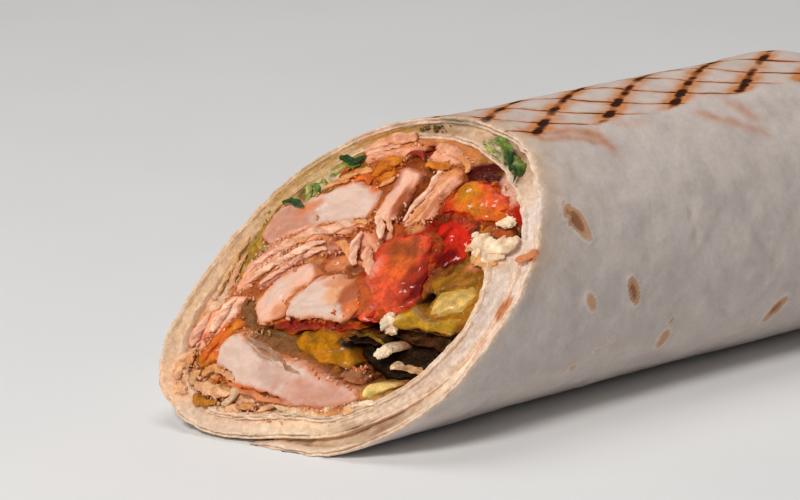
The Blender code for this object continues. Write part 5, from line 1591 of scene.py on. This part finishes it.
def grill(name):
    """Marks of a ridged press: thick lines and thin ones across them, burnt darkest where they cross."""
    tree, given, out = new_group(name, {"Char": 1.0}, ("Core", "Halo"))
    at = tinted(tree, given["Vector"], (MARK_STEP, CROSS_STEP, 1.0))
    shift = sums(tree, "MULTIPLY_ADD", noise(tree, at, 0.30, 2.0), 0.12, -0.06)
    parts = add_node(tree, "ShaderNodeSeparateXYZ", {0: given["Vector"]})
    thick, thin = (sums(tree, "ADD", parts.outputs[k], shift) for k in (0, 1))
    thick_core, thick_halo = line_marks(tree, thick, MARK_STEP, *THICK_MARK)
    thin_core, thin_halo = line_marks(tree, thin, CROSS_STEP, *THIN_MARK)
    _, near_thin = line_marks(tree, thin, CROSS_STEP, *CROSSING)
    burn = times(tree, given["Char"], ramp(tree, noise(tree, at, 0.13, 2.0), 0.36, 0.62, 0.62, 1.42))
    crossing = ramp(tree, near_thin, 0.0, 0.95, 0.50, 1.20)
    near_thick = sums(tree, "MULTIPLY_ADD", thick_halo, 0.3, 0.55)
    core = sums(tree, "MAXIMUM", times(tree, thick_core, crossing), times(tree, thin_core, near_thick))
    halo = sums(tree, "MAXIMUM", thick_halo, times(tree, thin_halo, 0.45))
    for key, mask in (("Core", core), ("Halo", halo)):
        tree.links.new(times(tree, mask, burn), out[key])
    return tree


# Materials

def start_material(name, values):
    """New material with one Principled shader, whose even values are set on its own sockets."""
    material = bpy.data.materials.new(name)
    material.use_nodes = True
    shader = material.node_tree.nodes["Principled BSDF"]
    for key, value in values.items():
        shader.inputs[key].default_value = value
    return material, material.node_tree, shader


def finish_material(tree, shader, colour, roughness, height, depth, coat=None):
    """Link a colour, a roughness, a height in millimetres and sometimes a glaze to the shader."""
    tree.links.new(colour, shader.inputs["Base Color"])
    tree.links.new(roughness, shader.inputs["Roughness"])
    bump = add_node(tree, "ShaderNodeBump", {"Height": height, "Distance": depth * MM})
    tree.links.new(bump.outputs[0], shader.inputs["Normal"])
    if coat is not None:
        tree.links.new(coat, shader.inputs["Coat Weight"])


GREY_PATCHES = (0.42, 0.35, 0.34)
PRESSED_TONE = (0.76, 0.50, 0.36)
MARK_HALO = (0.66, 0.27, 0.10)
# Colours that come over the bread one after the other, where it is burnt by the press or toasted in a
# blister: as the mask goes from the first number to the second, the colour's share goes from 0 to the third
BREAD_COLOURS = (
    ("burnt", 0.05, 0.45, 1.0, (0.46, 0.14, 0.035)), ("burnt", 0.30, 0.85, 1.0, (0.040, 0.010, 0.005)),
    ("toast", 0.02, 0.14, 0.5, (0.82, 0.70, 0.61)), ("toast", 0.18, 0.42, 0.85, (0.60, 0.31, 0.15)),
    ("toast", 0.62, 0.90, 0.9, (0.33, 0.13, 0.06)),
)
# What the colour of the crumb is multiplied by in its pale streaks and in its damp places
PALE_CRUMB = (1.15, 1.20, 1.26)
DAMP_CRUMB = (0.80, 0.72, 0.62)


def bread_material(props):
    """Thin floury flatbread: soft grey mottles, toasted blisters, grill marks, soft crumb at the cut."""
    material = bpy.data.materials.get("flatbread_grilled")
    if material:
        return material
    material, tree, shader = start_material("flatbread_grilled", {
        "Specular IOR Level": 0.12, "Subsurface Weight": 0.08, "Subsurface Radius": (1.0, 0.6, 0.35),
        "Subsurface Scale": 1.2 * MM})
    at = millimetres(tree)
    crumb, toast, zone = (painted(tree, key) for key in ("crumb", "toast", "pressed"))
    skin = sums(tree, "SUBTRACT", 1.0, crumb)
    broad = use(tree, mottle, at, Size=9.0, From=0.36, To=0.68, Detail=2.0)
    middle = use(tree, mottle, at, Size=3.6, From=0.40, To=0.66, Detail=2.0)
    fine = use(tree, mottle, at, Size=0.8, From=0.35, To=0.65)
    colour = tone = painted(tree, "tone", "Color")
    colour = mix(tree, times(tree, broad["Mask"], skin, 0.30), colour, GREY_PATCHES)
    colour = mix(tree, times(tree, middle["Mask"], skin, 0.22), colour, props.flour)
    colour = mix(tree, times(tree, zone, 0.2), colour, PRESSED_TONE)
    marks = use(tree, grill, flat_map(tree, "marks"), Char=props.char)
    masks = {"burnt": times(tree, marks["Core"], zone), "toast": toast}
    colour = mix(tree, times(tree, marks["Halo"], zone), colour, MARK_HALO)
    for key, low, high, share, over in BREAD_COLOURS:
        colour = mix(tree, ramp(tree, masks[key], low, high, 0.0, share), colour, over)
    colour = shade(tree, colour, fine["Mask"], 0.97, 1.02)
    streaks = use(tree, mottle, at, Size=1.2, From=0.44, To=0.60)
    damp = use(tree, mottle, at, Size=2.6, From=0.50, To=0.66, Detail=4.0)
    colour = mix(tree, times(tree, streaks["Mask"], crumb), colour, tinted(tree, tone, PALE_CRUMB))
    colour = mix(tree, times(tree, damp["Mask"], crumb, 0.35), colour, tinted(tree, tone, DAMP_CRUMB))
    wrinkles = noise(tree, at, 0.16, 2.0, Roughness=0.4)
    soft = times(tree, fine["Height"], sums(tree, "MULTIPLY_ADD", crumb, 0.9, 0.04))
    height = sums(tree, "MULTIPLY_ADD", wrinkles, 1.5, soft)
    height = sums(tree, "SUBTRACT", height, times(tree, masks["burnt"], 0.3))
    roughness = ramp(tree, skin, 0.0, 1.0, 0.62, 0.80)
    finish_material(tree, shader, colour, roughness, height, 0.45)
    return material


# Finish of each meat: fibre length and width, bump, roughness, glaze, darker and paler share of its fibres,
# how warm its clouds are, how much browned seasoning it has, how strong its pale specks, painted highlights,
# are
MEAT_FINISH = {
    "white_meat": (6.0, 1.1, 0.18, 0.42, 0.15, 0.93, 1.03, 0.16, 0.35, 0.10),
    "roast_meat": (3.0, 0.90, 0.40, 0.42, 0.30, 0.90, 1.14, 0.28, 0.50, 0.50),
    "dark_meat": (3.0, 0.60, 0.40, 0.38, 0.35, 0.75, 1.2, 0.20, 0.40, 0.15),
}


# What the meat's colour is multiplied by in its warm clouds and in its pale specks, painted highlights at
# random places, and its seasoning's colour
WARM_MEAT = (0.88, 0.54, 0.27)
PALE_MEAT = (1.12, 1.32, 1.45)
SEASONING = (0.58, 0.17, 0.03)


def meat_material(look, props):
    """Cooked meat: paler and darker fibres, warm clouds, browned seasoning at the rims, and a wet glaze."""
    material = bpy.data.materials.get(look + "_cooked")
    if material:
        return material
    length, width, bump, rough_level, glaze, low, high, warmth, season, pale = MEAT_FINISH[look]
    material, tree, shader = start_material(look + "_cooked", {
        "Specular IOR Level": 0.12, "Subsurface Weight": 0.20, "Subsurface Radius": (1.0, 0.45, 0.2),
        "Subsurface Scale": 0.8 * MM, "Coat Roughness": 0.10})
    at = millimetres(tree)
    strands = use(tree, fibres, flat_map(tree, "fibre"), Length=length, Width=width)
    clouds = use(tree, mottle, at, Size=2.6, From=0.38, To=0.66, Detail=2.0)
    fine = use(tree, mottle, at, Size=0.6, From=0.35, To=0.65)
    rim = painted(tree, "rim")
    colour = shade(tree, painted(tree, "tone", "Color"), strands["Mask"], low, high)
    share = sums(tree, "MULTIPLY_ADD", rim, 0.4, warmth)
    colour = mix(tree, times(tree, clouds["Mask"], share), colour, tinted(tree, colour, WARM_MEAT))
    # Painted highlights: pale specks at random places stand in for light caught by the crumbly surface
    flecks = use(tree, mottle, at, Size=1.1, From=0.50, To=0.64)
    colour = mix(tree, times(tree, flecks["Mask"], pale), colour, tinted(tree, colour, PALE_MEAT))
    grains = times(tree, ramp(tree, fine["Height"], 0.50, 0.60), rim, season)
    colour = mix(tree, grains, colour, SEASONING)
    height = sums(tree, "ADD", strands["Height"], times(tree, fine["Height"], 0.6))
    wet = use(tree, mottle, at, Size=2.6, From=0.44, To=0.6)
    roughness = ramp(tree, wet["Mask"], 0.0, 1.0, rough_level + 0.10, rough_level - 0.10)
    coat = times(tree, wet["Mask"], glaze * props.gloss)
    finish_material(tree, shader, colour, roughness, height, bump, coat)
    return material


# Finish of each vegetable and of the sauce: size of its clouds, darker and paler share, bump, roughness,
# glaze, how deep light goes into it, share of streaks along the piece, contrast of its grains, plain shine
MOIST_FINISH = {
    "tomato": (2.4, 0.80, 1.16, 0.34, 0.34, 0.36, 0.18, 0.15, 0.12, 0.05),
    "pepper": (3.0, 0.80, 1.14, 0.16, 0.36, 0.26, 0.12, 0.45, 0.10, 0.05),
    "pickle": (2.6, 0.80, 1.14, 0.18, 0.36, 0.28, 0.16, 0.45, 0.10, 0.06),
    "dark_pickle": (2.0, 0.6, 1.3, 0.25, 0.34, 0.04, 0.0, 0.7, 0.20, 0.25),
    "lettuce": (1.6, 0.72, 1.22, 0.20, 0.46, 0.12, 0.12, 0.55, 0.12, 0.12),
    "onion": (2.0, 0.85, 1.1, 0.12, 0.38, 0.25, 0.2, 0.4, 0.08, 0.16),
    "sauce": (2.4, 0.86, 1.08, 0.24, 0.46, 0.14, 0.12, 0.0, 0.14, 0.06),
}


DARK_SHINE = (0.60, 0.30, 0.12, 1.0)  # tint of the shine on a dark slice


def moist_material(look, props):
    """Juicy flesh, leaf or sauce: soft clouds, streaks along the piece, small glossy grains."""
    material = bpy.data.materials.get(look + "_moist")
    if material:
        return material
    size, low, high, bump, rough_level, glaze, depth, streaky, grains, shine = MOIST_FINISH[look]
    material, tree, shader = start_material(look + "_moist", {
        "Specular IOR Level": shine, "Subsurface Weight": depth, "Subsurface Radius": (1.0, 0.3, 0.1),
        "Subsurface Scale": 1.6 * MM, "Coat Roughness": 0.08})
    if look == "dark_pickle":
        shader.inputs["Specular Tint"].default_value = DARK_SHINE
    at = millimetres(tree)
    clouds = use(tree, mottle, at, Size=size, From=0.34, To=0.68, Detail=2.0)
    fine = use(tree, mottle, at, Size=0.55, From=0.35, To=0.65)
    streaks = use(tree, fibres, flat_map(tree, "fibre"), Length=5.0, Width=0.9)
    colour = shade(tree, painted(tree, "tone", "Color"), clouds["Mask"], low, high)
    colour = shade(tree, colour, streaks["Mask"], 1 - 0.35 * streaky, 1 + 0.25 * streaky)
    colour = shade(tree, colour, fine["Mask"], 1 - grains, 1 + 0.6 * grains)
    height = sums(tree, "ADD", clouds["Height"], times(tree, fine["Height"], 0.7))
    height = sums(tree, "MULTIPLY_ADD", streaks["Height"], streaky, height)
    roughness = ramp(tree, fine["Mask"], 0.0, 1.0, rough_level - 0.06, rough_level + 0.10)
    coat = ramp(tree, clouds["Mask"], 0.0, 1.0, glaze * props.gloss, glaze * props.gloss * 0.5)
    finish_material(tree, shader, colour, roughness, height, bump, coat)
    return material


def crumb_material(props):
    """Dry browned crumbs: each in its own tone, with darker specks and a rough, pitted surface."""
    material = bpy.data.materials.get("browned_crumb")
    if material:
        return material
    material, tree, shader = start_material("browned_crumb", {"Specular IOR Level": 0.3})
    at = millimetres(tree)
    fine = use(tree, mottle, at, Size=0.35, From=0.35, To=0.62)
    colour = shade(tree, painted(tree, "tone", "Color"), fine["Mask"], 0.90, 1.08)
    roughness = ramp(tree, fine["Mask"], 0.0, 1.0, 0.75, 0.5)
    coat = times(tree, fine["Mask"], 0.2 * props.gloss)
    finish_material(tree, shader, colour, roughness, fine["Height"], 0.3, coat)
    return material


FINISHES = {look: meat_material for look in MEAT_FINISH} | {look: moist_material for look in MOIST_FINISH}


def floor_material(colour):
    """Plain matt floor, with the faintest unevenness."""
    material, tree, shader = start_material("studio_floor", {"Specular IOR Level": 0.2})
    soft = use(tree, mottle, millimetres(tree), Size=60.0, From=0.3, To=0.7)
    shown = mix(tree, soft["Mask"], tuple(0.985 * part for part in colour), tuple(colour))
    roughness = ramp(tree, soft["Mask"], 0.0, 1.0, 0.72, 0.78)
    finish_material(tree, shader, shown, roughness, soft["Height"], 0.01)
    return material


# Stage

def aim(item, place, target):
    """Put a light or the camera at a place, looking at the target."""
    item.location = place
    item.rotation_euler = (Vector(target) - Vector(place)).to_track_quat("-Z", "Y").to_euler()


def soft_light(name, place, target, size, power, colour):
    """Round area light, aimed at its target."""
    data = bpy.data.lights.new(name, "AREA")
    data.shape = "DISK"
    data.size = size
    data.energy = power
    data.color = colour
    light = bpy.data.objects.new(name, data)
    bpy.context.scene.collection.objects.link(light)
    aim(light, place, target)


FLOOR_REACH = 3.0  # metres to each side
FLOOR_POINTS = 9  # along each side
FLOOR_DROP = 0.0001  # below the roll


def pale_floor(props):
    """Floor as one flat grid under the roll."""
    side = np.linspace(-FLOOR_REACH, FLOOR_REACH, FLOOR_POINTS)
    x, y = np.meshgrid(side, side, indexing="ij")
    points = np.stack([x, y, 0 * x - FLOOR_DROP], -1).reshape(-1, 3)
    numbers = np.arange(FLOOR_POINTS ** 2).reshape(FLOOR_POINTS, FLOOR_POINTS)
    mesh = bpy.data.meshes.new("floor")
    mesh.from_pydata(points.tolist(), [], grid_quads(numbers).tolist())
    mesh.update()
    floor = bpy.data.objects.new("floor", mesh)
    bpy.context.scene.collection.objects.link(floor)
    mesh.materials.append(floor_material(props.floor))


# Lights, by the setting that holds their power: place, what they shine at, size, colour
LIGHTS = {
    "key": ((-0.75, -0.25, 0.75), (-0.03, 0.0, 0.03), 0.3, (1.0, 0.97, 0.93)),
    "top": ((0.15, 0.25, 0.9), (0.0, 0.0, 0.04), 0.6, (1.0, 0.98, 0.96)),
    "face": ((-1.0, 0.0, 0.34), (-0.05, 0.0, 0.03), 0.2, (1.0, 0.96, 0.92)),
}
SURROUNDINGS = (0.93, 0.96, 1.0, 1)
SENSOR_WIDTH = 36.0
# Camera: the direction it looks from, its distance, the point of the roll that it is measured from, and how
# far right of that point and above it the middle of the picture lies
LOOK_FROM = (-0.6018, -0.7432, 0.2924)
DISTANCE = 0.85
LOOK_POINT = (-0.054, 0.005, 0.029)
AIM_RIGHT = 0.0103
AIM_UP = 0.0072


def studio(props):
    """Pale floor and surroundings, soft lights, and the camera."""
    scene = bpy.context.scene
    scene.view_settings.view_transform = "Standard"
    world = bpy.data.worlds.new("studio")
    scene.world = world
    world.use_nodes = True
    back = world.node_tree.nodes["Background"]
    back.inputs["Color"].default_value = SURROUNDINGS
    back.inputs["Strength"].default_value = props.ambient
    pale_floor(props)
    for name, (place, target, size, colour) in LIGHTS.items():
        soft_light(name, place, target, size, getattr(props, name), colour)
    data = bpy.data.cameras.new("camera")
    data.lens = props.lens
    data.sensor_width = SENSOR_WIDTH
    data.clip_start = 0.01
    camera = bpy.data.objects.new("camera", data)
    scene.collection.objects.link(camera)
    back_way = Vector(LOOK_FROM)
    right = Vector((0, 0, 1)).cross(back_way).normalized()
    up = back_way.cross(right).normalized()
    point = Vector(LOOK_POINT)
    aim(camera, point + back_way * DISTANCE, point + right * AIM_RIGHT + up * AIM_UP)
    scene.camera = camera


# Settings, operators and panel

class BreadLook(bpy.types.PropertyGroup):
    wrinkle: FloatProperty(name="Wrinkles", description="Relief of the bread's outer skin, as a share",
                           default=1.0, min=0.0, max=2.0, subtype="FACTOR")
    char: FloatProperty(name="Grill marks", description="How dark the grill marks are",
                        default=1.0, min=0.0, max=1.5, subtype="FACTOR")
    flour: FloatVectorProperty(name="Flour", description="Colour of the floury patches",
                               default=(0.76, 0.70, 0.66), size=3, min=0.0, max=1.0, subtype="COLOR")


class FillingLook(bpy.types.PropertyGroup):
    gloss: FloatProperty(name="Glaze", description="How wet the filling looks, as a share",
                         default=1.0, min=0.0, max=1.5, subtype="FACTOR")
    facet: FloatProperty(name="Facet size", description="Size of a facet on a cut face, in millimetres",
                         default=FACE_STEP, min=0.15, max=1.0)
    crumbs: IntProperty(name="Crumbs", description="Browned crumbs along the edges of the meat",
                        default=RIM_CRUMBS, min=0, max=2000)


class StudioLook(bpy.types.PropertyGroup):
    key: FloatProperty(name="Key light", description="Power of the main light",
                       default=6.4, min=0.0, subtype="POWER", unit="POWER")
    top: FloatProperty(name="Top light", description="Power of the light overhead",
                       default=2.6, min=0.0, subtype="POWER", unit="POWER")
    face: FloatProperty(name="Face light", description="Power of the light on the cut",
                        default=1.0, min=0.0, subtype="POWER", unit="POWER")
    ambient: FloatProperty(name="Surroundings", description="Brightness of the pale surroundings",
                           default=0.16, min=0.0, max=3.0)
    floor: FloatVectorProperty(name="Floor", description="Colour of the floor",
                               default=(0.88, 0.88, 0.88), size=3, min=0.0, max=1.0, subtype="COLOR")
    lens: FloatProperty(name="Lens", description="Focal length of the camera, in millimetres",
                        default=185.1, min=20.0, max=400.0)


def add_pieces(looks, props):
    """Dress every piece of filling with one of these looks."""
    strips, outlines = layout()
    for number, (strip, outline) in enumerate(zip(strips, outlines)):
        if strip.look in looks:
            filling_piece(strip, outline, number, props)


class WRAP_OT_bread(bpy.types.Operator):
    """Rolled flatbread: its outer turn, its inner turns and the tucked end"""
    bl_idname = "wrap.bread"
    bl_label = "Flatbread"

    def execute(self, context):
        props = context.scene.wrap_bread
        rings = np.concatenate([NEAR_RINGS, np.arange(NEAR_RINGS[-1] + BACK_STEP, RING_REACH, BACK_STEP)])
        split = SPLIT_TURN + SPLIT_OVERLAP / 2
        roll = np.linspace(0, split, OUTER_STATIONS)
        sheet_part("bread_outer_turn", roll, rings, 0 * roll + 1, 51, props)
        roll = np.linspace(split - SPLIT_OVERLAP, SHEET_TURNS, INNER_STATIONS)
        thin = smooth_step((roll - roll[0]) / SPLIT_OVERLAP)
        rings = np.concatenate([NEAR_RINGS, NEAR_RINGS[-1] + INNER_RINGS])
        sheet_part("bread_inner_turns", roll, rings, thin, 51, props)
        fold_fill(props)
        soft_lumps("bread_lumps", bread_material(props))
        strands("torn_edge", bread_material(props))
        tucked_end(props)
        return {"FINISHED"}


class WRAP_OT_meat(bpy.types.Operator):
    """White, roast and dark meat"""
    bl_idname = "wrap.meat"
    bl_label = "Meat"

    def execute(self, context):
        props = context.scene.wrap_filling
        add_pieces(MEAT_FINISH, props)
        strands("meat_shreds", meat_material("roast_meat", props))
        return {"FINISHED"}


class WRAP_OT_tomato(bpy.types.Operator):
    """Tomato pieces"""
    bl_idname = "wrap.tomato"
    bl_label = "Tomato"

    def execute(self, context):
        add_pieces(("tomato",), context.scene.wrap_filling)
        return {"FINISHED"}


class WRAP_OT_pickles(bpy.types.Operator):
    """Pickles, dark slices and peppers"""
    bl_idname = "wrap.pickles"
    bl_label = "Pickles and peppers"

    def execute(self, context):
        props = context.scene.wrap_filling
        add_pieces(("pickle", "dark_pickle", "pepper"), props)
        soft_lumps("pickle_tip", moist_material("pickle", props))
        strands("pickle_edges", moist_material("dark_pickle", props))
        return {"FINISHED"}


class WRAP_OT_greens(bpy.types.Operator):
    """Lettuce leaves and onion shreds"""
    bl_idname = "wrap.greens"
    bl_label = "Lettuce and onion"

    def execute(self, context):
        props = context.scene.wrap_filling
        add_pieces(("lettuce", "onion"), props)
        strands("leaf_frills", moist_material("lettuce", props))
        return {"FINISHED"}


class WRAP_OT_sauce(bpy.types.Operator):
    """Sauce: the pieces of it at the cut, and what lies between the others"""
    bl_idname = "wrap.sauce"
    bl_label = "Sauce"

    def execute(self, context):
        props = context.scene.wrap_filling
        add_pieces(("sauce",), props)
        soft_lumps("sauce_lumps", moist_material("sauce", props))
        strands("sauce_curls", moist_material("sauce", props))
        sauce_bed(props)
        return {"FINISHED"}


class WRAP_OT_crumbs(bpy.types.Operator):
    """Loose crumbs on the cut and browned bits along the meat"""
    bl_idname = "wrap.crumbs"
    bl_label = "Crumbs"

    def execute(self, context):
        props = context.scene.wrap_filling
        cut_crumbs(props)
        rim_crumbs(props)
        return {"FINISHED"}


class WRAP_OT_studio(bpy.types.Operator):
    """Floor, lights and camera"""
    bl_idname = "wrap.studio"
    bl_label = "Studio"

    def execute(self, context):
        studio(context.scene.wrap_studio)
        return {"FINISHED"}


OPERATORS = (WRAP_OT_bread, WRAP_OT_meat, WRAP_OT_tomato, WRAP_OT_pickles, WRAP_OT_greens, WRAP_OT_sauce,
             WRAP_OT_crumbs, WRAP_OT_studio)
SETTINGS = {"wrap_bread": BreadLook, "wrap_filling": FillingLook, "wrap_studio": StudioLook}


class WRAP_PT_panel(bpy.types.Panel):
    """Settings and buttons for each part of the wrap"""
    bl_label = "Wrap"
    bl_idname = "WRAP_PT_panel"
    bl_space_type = "VIEW_3D"
    bl_region_type = "UI"
    bl_category = "Wrap"

    def draw(self, context):
        for key, group in SETTINGS.items():
            box = self.layout.box()
            for name in group.__annotations__:
                box.prop(getattr(context.scene, key), name)
        for operator in OPERATORS:
            self.layout.operator(operator.bl_idname)


def register():
    for item in (*SETTINGS.values(), *OPERATORS, WRAP_PT_panel):
        bpy.utils.register_class(item)
    for key, group in SETTINGS.items():
        setattr(bpy.types.Scene, key, PointerProperty(type=group))


def unregister():
    for key in SETTINGS:
        delattr(bpy.types.Scene, key)
    for item in (WRAP_PT_panel, *reversed(OPERATORS), *SETTINGS.values()):
        bpy.utils.unregister_class(item)


def main():
    """Build everything in order."""
    register()
    for operator in OPERATORS:
        group, name = operator.bl_idname.split(".")
        getattr(getattr(bpy.ops, group), name)()


if __name__ == "__main__":
    main()
